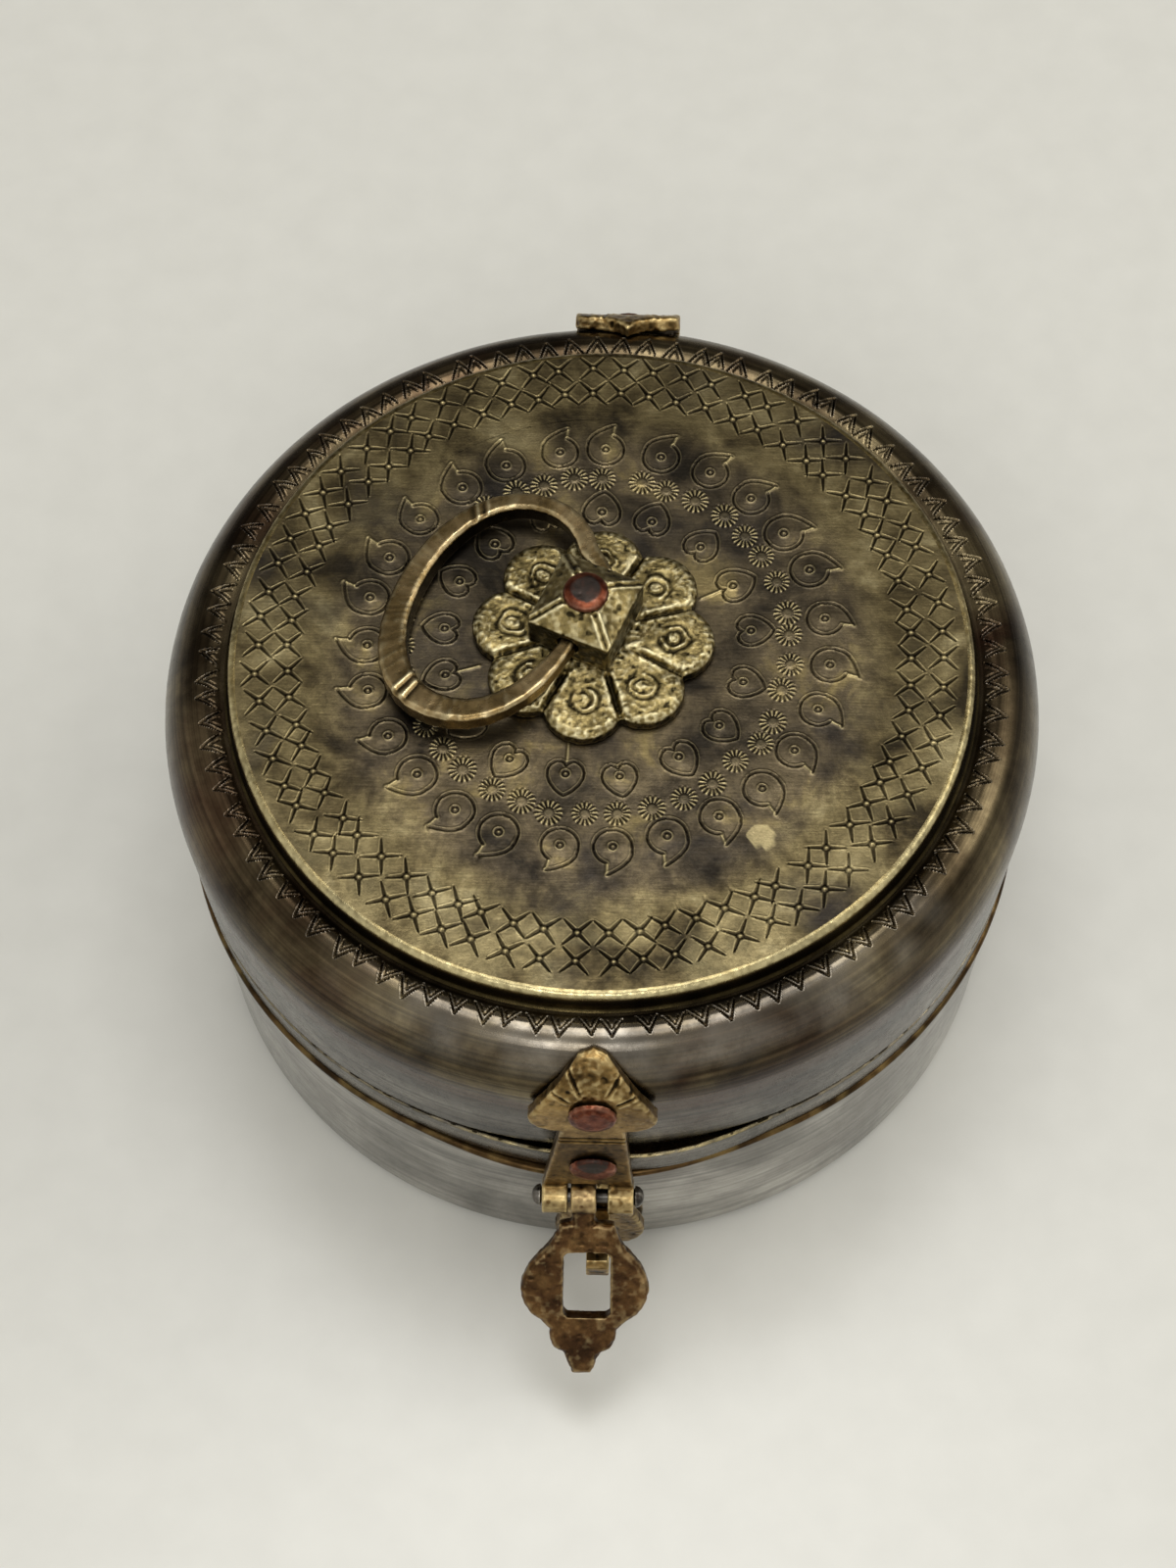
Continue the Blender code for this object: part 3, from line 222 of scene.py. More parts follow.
def marked(tree, place, colour, spots, mottling, patch, stain, stain_share, scratches):
    """The colour with its mottle, its stains and its scratches."""
    colour = lighten(tree, colour, spots, 0.3, 0.7, mottling)
    cloud = add_node(tree, "TexNoise", {"Vector": place, "Scale": STAIN_SIZE * per_mm(patch),
                                        "Detail": 4.0, "Distortion": 0.8})
    share = add_node(tree, "MapRange", {0: cloud, 1: 0.52, 2: 0.66, 4: stain_share})
    colour = add_node(tree, "Mix", {"Factor": share, 6: colour, 7: paint(stain)}, **MIX_COLOUR)
    for turn in SCRATCH_TURNS if scratches else ():
        drawn = add_node(tree, "Mapping", {"Vector": place, "Rotation": (0.0, 0.0, turn),
                                           "Scale": (SCRATCH_STRETCH, 1.0, 1.0)})
        hairs = add_node(tree, "TexNoise", {"Vector": drawn, "Scale": per_mm(SCRATCH_PITCH),
                                            "Detail": 2.0, "Distortion": 0.3})
        colour = lighten(tree, colour, hairs, 0.3, 0.72, scratches)
    return colour


# %% [markdown]
# The third layer is the lathe's. A tool that follows a turning sheet leaves lines along the profile.
# So the noise is squeezed along height less radius, which runs down both the shoulder and the walls,
# and stretched round the axis. Real lines are finer than the render can show, so they are drawn as
# coarse as they need to be seen.

# %% Lathe lines
LINE_STRETCH = 5.0        # how fast the lines change round the axis, per metre
LINE_HEIGHT_SHARE = 0.92  # the rest of a turned skin's height is its grain


def lathe_lines(tree, place, colour, grain_height, strength, pitch):
    """The colour with lathe lines, and the skin's height."""
    height, flat, radius = seen_from_axis(tree, place)
    run = add_node(tree, "Math", {0: height, 1: radius}, operation="SUBTRACT")
    along = add_node(tree, "Math", {0: run, 1: per_mm(pitch)}, operation="MULTIPLY")
    slow = add_node(tree, "VectorMath", {0: flat, "Scale": LINE_STRETCH}, operation="SCALE")
    up = add_node(tree, "CombineXYZ", {2: along})
    squeezed = add_node(tree, "VectorMath", {0: slow, 1: up}, operation="ADD")
    lines = add_node(tree, "TexNoise", {"Vector": squeezed, "Scale": 1.0, "Detail": 1.6,
                                        "Roughness": 0.75})
    skin = add_node(tree, "Mix", {"Factor": LINE_HEIGHT_SHARE, 2: grain_height, 3: lines})
    return lighten(tree, colour, lines, 0.36, 0.64, strength), skin


# %% [markdown]
# The last layer is wear, dirt and painted light. The carving below stores a number called "relief" on
# each
# point: above zero on a ridge or under a painted highlight, below zero in a hollow or under painted
# shade.
# Ridges and painted highlights go towards the worn colour, broken up by the mottle, and hollows and
# painted shade towards oxide and dirt. Then the layers are put together.

# %% Wear, dirt, painted light and the whole metal
# The colour below, for oxide and dirt in cuts, is also the colour that painted shade goes towards.
HOLLOW_AND_SHADE = "0F0C07"         # oxide and dirt at the bottom of a cut


def wear_dirt_and_painted_light(tree, colour, spots, worn, ridge, hollow_and_shade):
    """The colour with rubbed ridges, dirty hollows, painted highlights and painted shade."""
    relief = add_node(tree, "Attribute", out="Fac", attribute_name="relief")
    # Positive relief is wear and painted highlight alike, negative relief is dirt and painted shade
    # alike.
    bright = add_node(tree, "MapRange", {0: relief, 1: 0.05, 2: 0.9, 4: ridge})
    broken = add_node(tree, "MapRange", {0: spots, 1: 0.25, 2: 0.6, 3: 0.55})
    bright = add_node(tree, "Math", {0: bright, 1: broken}, operation="MULTIPLY")
    dirt_and_shade = add_node(tree, "MapRange", {0: relief, 1: -0.05, 2: -0.9, 4: 0.93})
    for share, tone in ((bright, worn), (dirt_and_shade, hollow_and_shade)):
        colour = add_node(tree, "Mix", {"Factor": share, 6: colour, 7: paint(tone)}, **MIX_COLOUR)
    return colour


def old_metal(name, tones, stain, worn, patch, mottle, grain, rough, skin, mottling, ridge=0.7,
              lathe=None, stain_share=0.35, hollow_and_shade=HOLLOW_AND_SHADE, far=None, spread=0.42, scratches=0.0):
    """A metal with patina. Sizes are in mm, tones go from the darkest patch to the brightest.

    Rough is the range of roughness, and lathe the strength and pitch of the lathe's lines.
    """
    material = bpy.data.materials.new(name)
    material.use_nodes = True
    tree = material.node_tree
    shader = tree.nodes["Principled BSDF"]
    shader.inputs["Metallic"].default_value = 1.0
    place = add_node(tree, "TexCoord", out="Object")
    spots = add_node(tree, "TexNoise", {"Vector": place, "Scale": per_mm(mottle), "Detail": 5.0,
                                        "Roughness": 0.7})
    height = add_node(tree, "TexNoise", {"Vector": place, "Scale": per_mm(grain), "Detail": 3.0,
                                         "Roughness": 0.6})
    colour = patina(tree, place, patch, spread, tones, far)
    colour = marked(tree, place, colour, spots, mottling, patch, stain, stain_share, scratches)
    if lathe:
        colour, height = lathe_lines(tree, place, colour, height, *lathe)
    colour = wear_dirt_and_painted_light(tree, colour, spots, worn, ridge, hollow_and_shade)
    dull = add_node(tree, "MapRange", {0: spots, 1: 0.3, 2: 0.7, 3: rough[1], 4: rough[0]})
    bump = add_node(tree, "Bump", {"Height": height, "Distance": skin * MM, "Strength": 1.0})
    for socket, value in (("Base Color", colour), ("Roughness", dull), ("Normal", bump)):
        tree.links.new(value, shader.inputs[socket])
    return material


# %% [markdown]
# ## The box's metals
# Each metal differs in its colours, in the size of its patches and in how its surface was made.
# Above each stands what it is and what that gives the eye. Its numbers are the sizes of its patches,
# mottle and grain, its range of roughness, the height of its skin and the strength of its mottle.

# %% The box's metals
# Sheet beaten flat and chased: umber and olive patches 15 mm wide, duller gold outside, a satin glow.
planished_brass = old_metal(
    "planished_aged_brass", ("2A2620", "473F32", "615642", "83744F"), "2F2D2D", "BFAF80",
    15, 1.4, 0.45, (0.30, 0.44), 0.035, 0.28, ridge=0.62, stain_share=0.45, spread=0.32,
    scratches=0.12, far=(("302A1F", "514731", "706446", "8E8260"), "radius", (54, 62), None))
# Sheet turned over a form: streaked brown above, handled grey below, a red-brown line between them.
shoulder_brass = old_metal(
    "turned_brown_brass", ("2C2419", "453B2B", "5C513C", "73674C"), "38231A", "BFB8AB",
    24, 3.0, 0.40, (0.20, 0.32), 0.034, 0.14, ridge=0.62, stain_share=0.55, spread=0.34,
    lathe=(0.44, 1.5), far=(("2E2B27", "45413B", "5A5650", "737069"), "height", (91, 78), "36241A"))
# The bead round the panel: pale gold where cloths and hands pass, brown beside it; its worn colour also
# gives the bead's painted highlight towards the front.
rubbed_brass = old_metal(
    "rubbed_edge_brass", ("3A2F1C", "5F5232", "7F6E45", "998659"), "2E2117", "E6D8A6",
    12, 1.4, 0.35, (0.22, 0.36), 0.04, 0.25, ridge=0.78)
# The base's turned wall: grey and nearly polished, with faint streaks, so it mirrors the table.
wall_brass = old_metal(
    "turned_grey_brass", ("66635D", "827F79", "9B9892", "B5B2AC"), "57504A", "F0EEE6",
    34, 3.5, 0.5, (0.14, 0.26), 0.022, 0.06, stain_share=0.5, spread=0.30, lathe=(0.28, 2.0))
# A rolled strip bent to a hoop: warm grey, its free edge worn to bright brass.
band_brass = old_metal(
    "rolled_grey_brass", ("3F3B35", "57534B", "6B665E", "837E75"), "3A2C20", "DCC890",
    20, 1.8, 0.35, (0.20, 0.34), 0.015, 0.12, ridge=0.9, lathe=(0.34, 1.5))
# Drawn brass under the lid's edge: dark olive, seldom wiped, a dull sheen.
ledge_brass = old_metal(
    "drawn_olive_brass", ("241B12", "3A2C1B", "503D25", "6F5835"), "1E1610", "BBA066",
    14, 1.6, 0.35, (0.26, 0.40), 0.03, 0.3, ridge=0.5, lathe=(0.2, 0.8))
# Cast in sand: pale and grainy, it glitters in small facets.
cast_brass = old_metal(
    "sand_cast_brass", ("4A3F28", "746640", "978658", "BAAA78"), "3A301D", "EBDFB2",
    7, 1.1, 0.35, (0.26, 0.44), 0.10, 0.3, ridge=0.8)
# Cast and then filed: browner and smoother, with gold edges.
leaf_brass = old_metal(
    "filed_cast_brass", ("46361F", "6B5431", "8A7044", "A78B5A"), "3C2A1C", "E2CC94",
    8, 1.5, 0.40, (0.28, 0.44), 0.05, 0.25)
# Cast and never cleaned: red-brown and pitted, gold only where it is rubbed.
pitted_brass = old_metal(
    "pitted_brown_brass", ("2C1F16", "4A3421", "664B2E", "836640"), "221812", "D6BC88",
    7, 1.5, 0.40, (0.28, 0.46), 0.06, 0.22)
# Bronze that fingers keep smooth: a warm soft gleam on the flat sides, pale on the edges.
ring_bronze = old_metal(
    "worn_bronze", ("5C4B30", "7E6A45", "9E8760", "B9A47B"), "4A3B27", "EBDCB0",
    10, 1.6, 0.35, (0.22, 0.38), 0.03, 0.22, ridge=0.8)
# Copper hammered over: red-brown rims round grey, oxidised middles.
copper = old_metal(
    "peened_copper", ("301D16", "54281B", "73402C", "8C5A46"), "2C2624", "BE8F76",
    4, 1.0, 0.35, (0.28, 0.46), 0.04, 0.25, hollow_and_shade="34322F")
# Iron pins: nearly black, with rust in the stains and grey ends.
iron = old_metal(
    "dark_iron", ("1F1E1D", "34322F", "4A4743", "5D5A55"), "3A2B20", "B5B0A6",
    4, 0.9, 0.30, (0.24, 0.44), 0.05, 0.25)
print("materials:", len(bpy.data.materials))

# %% [markdown]
# ## Meshes from rows of points
# The lid's chased lines are under half a millimetre wide, so its surface needs a point every 0.22 mm
# or so. No primitive gives such a surface, and cutting each line by hand would take days. So the
# surface is written as rows of points, as a lathe would leave them, and the lines are pressed into
# the rows before the faces are laid between them. Each piece then gets its metal and takes the
# place of its CAD node on the body that carries it.

# %% Meshes from rows of points
SHARP = math.radians(48)
LID_SHELL = ("lid_shell", "aged_brass", "lid")


def lay_faces(name, rows):
    """A closed hollow ring from rows of points. Each row runs round, and the last meets the first."""
    count, steps = rows.shape[:2]
    index = np.arange(count * steps).reshape(count, steps)
    after, beside = np.roll(index, -1, axis=0), np.roll(index, -1, axis=1)
    quads = np.stack([index, beside, np.roll(after, -1, axis=1), after], axis=-1).reshape(-1, 4)
    mesh = bpy.data.meshes.new(name)
    mesh.vertices.add(count * steps)
    mesh.vertices.foreach_set("co", (rows.reshape(-1, 3) * MM).astype(np.float32).ravel())
    mesh.loops.add(quads.size)
    mesh.loops.foreach_set("vertex_index", quads.ravel().astype(np.int32))
    mesh.polygons.add(len(quads))
    mesh.polygons.foreach_set("loop_start", np.arange(0, quads.size, 4, dtype=np.int32))
    mesh.update(calc_edges=True)
    mesh.validate()
    piece = bpy.data.objects.new(name, mesh)
    bpy.context.scene.collection.objects.link(piece)
    return piece


def stand_in(piece, tone, material, node, slot, body, sharp=SHARP):
    """Store a piece's relief, give it its metal, and let it stand in for a CAD node."""
    mesh = piece.data
    store = mesh.attributes.new("relief", "FLOAT", "POINT")
    store.data.foreach_set("value", np.clip(tone, -1, 1).astype(np.float32).ravel())
    mesh.materials.clear()
    mesh.materials.append(material)
    mesh.shade_smooth()
    mesh.set_sharp_from_angle(angle=sharp)
    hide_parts(node)
    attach(piece, body)
    print(piece.name, len(mesh.polygons), "faces")


# %% [markdown]
# Nothing hand-made is even. Where a surface wavers or is pitted, smooth random heights are added to
# it, which come out the same each time because every use has its own seed.

# %% Random heights and soft shapes


def hashed(cells, seed):
    """A repeatable number from -1 to 1 for each cell of a grid."""
    x, y, z = cells.T
    mixed = x * 73856093 ^ y * 19349663 ^ z * 83492791 ^ (seed + 1) * 2654435761
    mixed = (mixed ^ (mixed >> 13)) * 1274126177
    mixed = (mixed ^ (mixed >> 16)) & 0xFFFF
    return mixed / 32767.5 - 1


def lumps(points, size, seed):
    """Smooth random height from -1 to 1 at each point, with bumps about one size apart, in mm."""
    scaled = points / size
    cell = np.floor(scaled).astype(np.int64)
    part = scaled - cell
    part = part * part * (3 - 2 * part)
    total = np.zeros(len(points))
    for corner in ((x, y, z) for x in (0, 1) for y in (0, 1) for z in (0, 1)):
        share = np.where(corner, part, 1 - part).prod(axis=1)
        total += share * hashed(cell + corner, seed)
    return total


def soft_step(value, low, high):
    """0 below low, 1 above high and a smooth rise between them."""
    share = np.clip((value - low) / (high - low), 0, 1)
    return share * share * (3 - 2 * share)


def bell(value, width):
    """1 where the value is zero, falling to nothing a few widths away."""
    return np.exp(-(value / width) ** 2)


# %% [markdown]
# ## Punches and chisels
# A mark on the metal is two rows of numbers, one for each point: the height that it adds and the
# tone that it leaves, bright above zero and dark below. So marks can simply be added up.
# Each figure on the lid is struck with its own punch, and is written at points given across and
# outwards from its middle. Its line is a narrow dark groove with a thin lip, round a slightly
# pillowed body.

# %% Punches and chisels
# A groove is given as (width, height, tone), a lip beside it as (distance, width, height, tone).
PUNCH_LINE = (0.20, -0.26, -0.8), (0.42, 0.16, 0.09, 0.3)
EYE_RING = (0.20, -0.16, -0.9), (0.39, 0.19, 0.14, 0.55)


def mark(share, height, tone):
    """A mark from the share of it that each point gets."""
    return np.outer((height, tone), share)


def scored(distance, groove, lip):
    """A scored line, from the distance of each point to it."""
    beside = bell(distance - lip[0], lip[1])
    return mark(bell(distance, groove[0]), *groove[1:]) + mark(beside, *lip[2:])


def cut(distance, half_width, depth, lip):
    """A chisel cut: a dark trough with a thin bright lip pushed up beside it."""
    trough = 1 - soft_step(distance, 0.35 * half_width, half_width + 0.12)
    burr = bell(distance - half_width - lip, lip)
    return mark(burr, 0.3 * depth, 0.5) - mark(trough, depth, 0.95)


def line_distance(points, line):
    """Distance of each point from an open line, and the share of the line that lies before it."""
    line = np.asarray(line, float)
    lengths = np.linalg.norm(np.diff(line, axis=0), axis=1)
    starts = np.concatenate([[0], np.cumsum(lengths)])
    nearest = np.full(len(points), np.inf)
    share = np.zeros(len(points))
    for start, end, length, before in zip(line, line[1:], lengths, starts):
        along = np.clip((points - start) @ (end - start) / length ** 2, 0, 1)
        gap = np.linalg.norm(points - start - along[:, None] * (end - start), axis=1)
        closer = gap < nearest
        nearest[closer] = gap[closer]
        share[closer] = ((before + along * length) / starts[-1])[closer]
    return nearest, share


def polar(plan):
    """Distance from the middle and angle of flat points."""
    return np.hypot(*plan.T), np.arctan2(plan[:, 1], plan[:, 0])


def arc_line(radius, start, end):
    angles = np.radians(np.linspace(start, end, 26))
    return np.stack([radius * np.cos(angles), radius * np.sin(angles)], axis=1)


# %% [markdown]
# The figures: paisleys and hearts with an eye, suns, four-armed stars, the V marks of the shoulder,
# and a short stroke that ties a few hearts to the flower. Their sizes are read off the photograph.

# %% Figures
PAISLEY_NOTCH = (1.75, 3.65)
PAISLEY_TIP = (2.2, 6.4)
PAISLEY_BACK = ((-4.0, 0.9), (-3.75, 2.4), (-2.9, 3.7), (-1.5, 4.8), (0.3, 5.7), PAISLEY_TIP)
PAISLEY_LINE = np.concatenate([arc_line(4.05, 64, -187), PAISLEY_BACK])
HEART_HALF = ((0.0, -1.9), (0.5, -2.6), (1.3, -3.0), (2.4, -2.8), (3.4, -1.9), (3.85, -0.6),
              (3.75, 0.8), (3.1, 2.3), (1.9, 3.8), (0.9, 4.6), (0.0, 5.1))
HEART_LINE = np.array(HEART_HALF + tuple((-x, y) for x, y in reversed(HEART_HALF)))
SUN_RAYS, STAR_ARM = 15, 4.3
V_CUTS = ((((-2.3, 0.0), (0.0, 4.3), (2.3, 0.0)), 0.12, 0.16, 0.34, 0.10),
          (((-1.0, 0.2), (0.0, 2.5), (1.0, 0.2)), 0.10, 0.08, 0.22, 0.06))
STROKE_LINE = ((0.0, -7.6), (0.0, -3.0))


def eye(points):
    """A dot in a small struck ring."""
    away = np.hypot(*points.T)
    return scored(away - 0.66, *EYE_RING) + mark(bell(away, 0.36), 0.22, 0.7)


def stroke(points, line, width):
    """One short bright stroke of a chisel."""
    return mark(bell(line_distance(points, line)[0], width), 0.22, 0.8)


def chisel_stroke(points):
    return stroke(points, STROKE_LINE, 0.30)


def paisley(points):
    """A round body that ends in a hooked tip, closed by one short straight stroke, with an eye."""
    pillow = mark(bell(np.hypot(*points.T), 3.0), 0.16, 0)
    return (scored(line_distance(points, PAISLEY_LINE)[0], *PUNCH_LINE) + eye(points) + pillow
            + stroke(points, (PAISLEY_TIP, PAISLEY_NOTCH), 0.28))


def heart(points):
    pillow = mark(bell(np.hypot(points[:, 0], points[:, 1] - 0.6), 2.7), 0.14, 0)
    return scored(line_distance(points, HEART_LINE)[0], *PUNCH_LINE) + eye(points) + pillow


def sun(points):
    """Short rays round a plain boss."""
    away, angle = polar(points)
    window = soft_step(away, 1.2, 1.4) * (1 - soft_step(away, 2.75, 2.95))
    rays = np.tanh(2.2 * np.cos(SUN_RAYS * angle) + 0.3)
    return mark(window * rays, 0.13, 0.95) + mark(1 - soft_step(away, 0.8, 1.3), 0.16, 0.15)


def star(points):
    """Four tapered chisel arms that meet at a dot in a ring."""
    away = np.hypot(*points.T)
    marks = mark(bell(away, 0.36), 0.2, 1.3) - mark(bell(away - 0.74, 0.18), 0.17, 0.95)
    diagonal = (points @ np.array([[1, 1], [1, -1]])) / math.sqrt(2)
    for along, across in (diagonal.T, diagonal.T[::-1]):
        reach = np.abs(along)
        half = 0.42 * np.clip(1 - reach / STAR_ARM, 0, 1) ** 0.55 + 0.04
        inside = soft_step(reach, 0.7, 1.0) * (1 - soft_step(reach, STAR_ARM - 0.2, STAR_ARM + 0.1))
        marks += inside * cut(np.abs(across), half, 0.26, 0.13)
    return marks


def chevron(points):
    """Two nested V cuts that point away from the panel, deepest at their points."""
    marks = np.zeros((2, len(points)))
    for line, thin, thicker, depth, lip in V_CUTS:
        distance, share = line_distance(points, line)
        marks += cut(distance, thin + thicker * (1 - np.abs(2 * share - 1)), depth, lip)
    marks[1] *= 0.8
    return marks


def strike(plan, marks, figure, place, turn, reach, size):
    """Press a figure into the marks of a plan. Turn is the direction of its outward side."""
    away = plan - place
    near = np.flatnonzero(np.abs(away).max(axis=1) < reach)
    if near.size:
        outward = np.array([math.cos(turn), math.sin(turn)])
        clockwise = np.array([outward[1], -outward[0]])
        marks[:, near] += figure(away[near] @ np.stack([clockwise, outward], axis=1) / size)


# %% [markdown]
# ## The lid's pattern
# The maker struck the figures by eye, ring after ring: hearts, suns and paisleys round the flower,
# then two rows of four-armed stars whose points meet in a lattice. So each figure sits a little off
# its even place, turned a little and a little larger or smaller. A seeded generator gives the same
# small slips each time. The three inner rings share the flower's middle, which is not quite the box's.

# %% The lid's pattern
slips = np.random.default_rng(7)
PATTERN_MIDDLE = np.array([-1.2, 4.0])
LATTICE_MIDDLE = np.array([-0.4, 1.6])
FIGURE_RINGS = (
    # figure, how many, radius, first angle, reach, slip round, slip outwards
    (heart, 17, 33.2, 6.0, 7.5, 0.6, 0.5),
    (sun, 38, 42.0, 3.0, 3.4, 0.45, 0.45),
    (paisley, 27, 49.6, 9.0, 8.5, 0.6, 0.45),
)
STROKED_HEARTS, STROKE_REACH = (1, 9, 12), 9.5
STAR_COUNT, STAR_RADII, STAR_REACH = 66, (66.9, 73.5), 4.6


def on_circle(middle, radius, angle):
    return middle + radius * np.array([math.cos(angle), math.sin(angle)])


figures = []
for figure, count, radius, first, reach, round_slip, out_slip in FIGURE_RINGS:
    for at in range(count):
        angle = math.radians(first) + TURN * at / count + slips.normal(0, round_slip) / radius
        place = on_circle(PATTERN_MIDDLE, radius + slips.normal(0, out_slip), angle)
        angle += slips.normal(0, 0.05)
        figures.append((figure, place, angle, reach, slips.uniform(0.95, 1.05)))
        if figure is heart and at in STROKED_HEARTS:
            figures.append((chisel_stroke, *figures[-1][1:3], STROKE_REACH, 1.0))
star_angles = TURN * (np.arange(STAR_COUNT) + slips.normal(0, 0.05, STAR_COUNT)) / STAR_COUNT
for radius in STAR_RADII:
    for angle in star_angles:
        turn = angle + slips.normal(0, 0.005)
        place = on_circle(LATTICE_MIDDLE, radius + slips.normal(0, 0.22), turn)
        turn += slips.normal(0, 0.04)
        figures.append((star, place, turn, STAR_REACH, slips.uniform(0.95, 1.04)))
print("figures on the panel:", len(figures))

# %% [markdown]
# ## The panel
# The panel is the flat round top of the lid. It is laid in rings, each a closed piece of sheet that
# meets the next at a bare circle between two rings of figures, because one mesh fine enough for the
# lines would be too heavy. The rings start round the flower's middle and end round the box's own
# axis, so the plain metal between them takes up the difference.

# %% The panel
PANEL_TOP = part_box("lid_shell")[1].z / MM
SHEET = 1.2
HANDLE_PLACE = np.array([-3.3, 6.0])
PANEL_FLAT = 78.3
RIVET_HOLE = 2.8
WIPED_FROM, WIPED_TO = 57, 70     # cloths reach the outer panel more than the middle
RUBBED_SPOT, SPOT_RADIUS = np.array([34.4, -42.2]), 2.8


def ring_middle(radius):
    """Middle of a ring of the panel: the rivet's, then the pattern's, then the box's axis."""
    inner = soft_step(radius, RIVET_HOLE, 20)
    outer = soft_step(radius, 56.8, 62.0)
    return (HANDLE_PLACE * (1 - inner) + PATTERN_MIDDLE * inner) * (1 - outer)


def panel_ring(name, radii, steps):
    angles = TURN * np.arange(steps) / steps
    spokes = np.stack([np.cos(angles), np.sin(angles)], axis=1)
    plan = np.concatenate([ring_middle(radius) + radius * spokes for radius in radii])
    deep = np.column_stack([plan, np.zeros(len(plan))])
    wiped = soft_step(np.hypot(*plan.T), WIPED_FROM, WIPED_TO)
    wiped *= soft_step(lumps(deep, 8.0, 3), -0.6, 0.5)
    spot = np.hypot(*(plan - RUBBED_SPOT).T) + 0.35 * lumps(deep, 1.5, 30)
    # The wiped zone's tone rises towards the front and drops below zero at the back: a painted highlight
    # at the front and painted shade at the back, on top of the wear.
    marks = np.array([0.05 * lumps(deep, 9.0, 1) + 0.022 * lumps(deep, 3.0, 2),
                      wiped * (0.14 - 0.24 * plan[:, 1] / PANEL_FLAT)])
    marks[1] += 1.1 * (1 - soft_step(spot, SPOT_RADIUS - 0.2, SPOT_RADIUS + 0.2))
    for figure in figures:
        strike(plan, marks, *figure)
    lift, tone = marks.reshape(2, len(radii), steps)
    top = np.dstack([plan.reshape(len(radii), steps, 2), PANEL_TOP + lift])
    under = top[[-1, 0]]
    under[..., 2] = PANEL_TOP - SHEET
    tones = np.concatenate([tone, np.zeros((2, steps))])
    stand_in(lay_faces(name, np.concatenate([top, under])), tones, planished_brass, *LID_SHELL)


def spaced(start, end, pitch):
    """Even steps from start to end, about one pitch each."""
    return np.linspace(start, end, max(2, round((end - start) / pitch) + 1))


middle_radii = np.concatenate([spaced(RIVET_HOLE, 20, 1.2), spaced(20.3, 28.4, 0.3)])
paisley_radii = np.concatenate([spaced(45.0, 57.0, 0.23), spaced(57.6, 62.0, 0.7)])
panel_ring("lid_panel_middle", middle_radii, 720)
panel_ring("lid_panel_hearts", spaced(28.4, 45.0, 0.225), 1280)
panel_ring("lid_panel_paisleys", paisley_radii, 1560)
panel_ring("lid_panel_lattice_inner", spaced(62.0, 70.2, 0.215), 2200)
panel_ring("lid_panel_lattice_outer", spaced(70.2, PANEL_FLAT, 0.215), 2200)

# %% [markdown]
# ## The panel's edge, the groove and the shoulder
# A bead runs round the panel, rubbed bright by years of wiping and given a painted highlight towards the
# front, and below it the step wall and the groove carry painted shade.
# Then the sheet rolls over the shoulder, where the maker struck nested V marks. These are rows of
# points too: a profile of (radius, height) pairs is followed at even steps, each point is pushed out
# along the profile's normal by the relief, and the underside follows one sheet's thickness below.

# %% The panel's edge, the groove and the shoulder
PANEL_ROUND = 1.7
PANEL_RADIUS = PANEL_FLAT + PANEL_ROUND
GROOVE_FLOOR = PANEL_TOP - 5.2
CREST_RADIUS, CREST_HEIGHT = 84.8, PANEL_TOP - 4.3
SHOULDER_REACH, SHOULDER_DROP = 10.5, 15.7
WIDEST = CREST_HEIGHT - SHOULDER_DROP


def rounded_corner(middle, radius, start, end, count):
    angles = np.radians(np.linspace(start, end, count))
    return [(middle[0] + radius * math.cos(a), middle[1] + radius * math.sin(a)) for a in angles]


def shoulder_points(start, end, count):
    """Points of the shoulder's quarter ellipse, from 0 degrees at the crest to 90 at the widest."""
    angles = np.radians(np.linspace(start, end, count))
    out, up = CREST_RADIUS + SHOULDER_REACH * np.sin(angles), WIDEST + SHOULDER_DROP * np.cos(angles)
    return list(zip(out, up))


def normals_left(line):
    """The directions that point to the left of a line's run."""
    run = np.gradient(line, axis=0)
    run /= np.linalg.norm(run, axis=1)[:, None]
    return np.stack([-run[:, 1], run[:, 0]], axis=1)


def resample(line, places):
    """Points along a line at the given distances from its start, or at one even pitch."""
    line = np.asarray(line, float)
    lengths = np.concatenate([[0], np.cumsum(np.linalg.norm(np.diff(line, axis=0), axis=1))])
    if np.isscalar(places):
        places = spaced(0, lengths[-1], places)
    return np.stack([np.interp(places, lengths, line[:, axis]) for axis in (0, 1)], axis=1), places


def swept(pairs, spokes):
    """Each (outward, up) pair carried round the spokes, as rows of points."""
    out, up = pairs.T[:, :, None]
    return np.dstack([out * spokes[:, 0], out * spokes[:, 1], up + 0 * spokes[:, 0]])


def turned_ring(name, line, places, steps, relief, material, under_count=6):
    """A closed ring of the shell: the profile with its relief, and the same one sheet inside it."""
    points, lengths = resample(line, places)
    angles = TURN * np.arange(steps) / steps
    spokes = np.stack([np.sin(angles), -np.cos(angles)], axis=1)
    base, push = swept(points, spokes), swept(normals_left(points), spokes)
    lift, tone = relief(base.reshape(-1, 3), np.repeat(lengths, steps), np.tile(angles, len(points)))
    outer = base + push * lift.reshape(len(points), steps, 1)
    inside = np.unique(np.linspace(len(points) - 1, 0, under_count).round().astype(int))[::-1]
    inner = base[inside] - push[inside] * SHEET
    tones = np.concatenate([tone.reshape(len(points), steps), np.zeros((len(inside), steps))])
    stand_in(lay_faces(name, np.concatenate([outer, inner])), tones, material, *LID_SHELL)


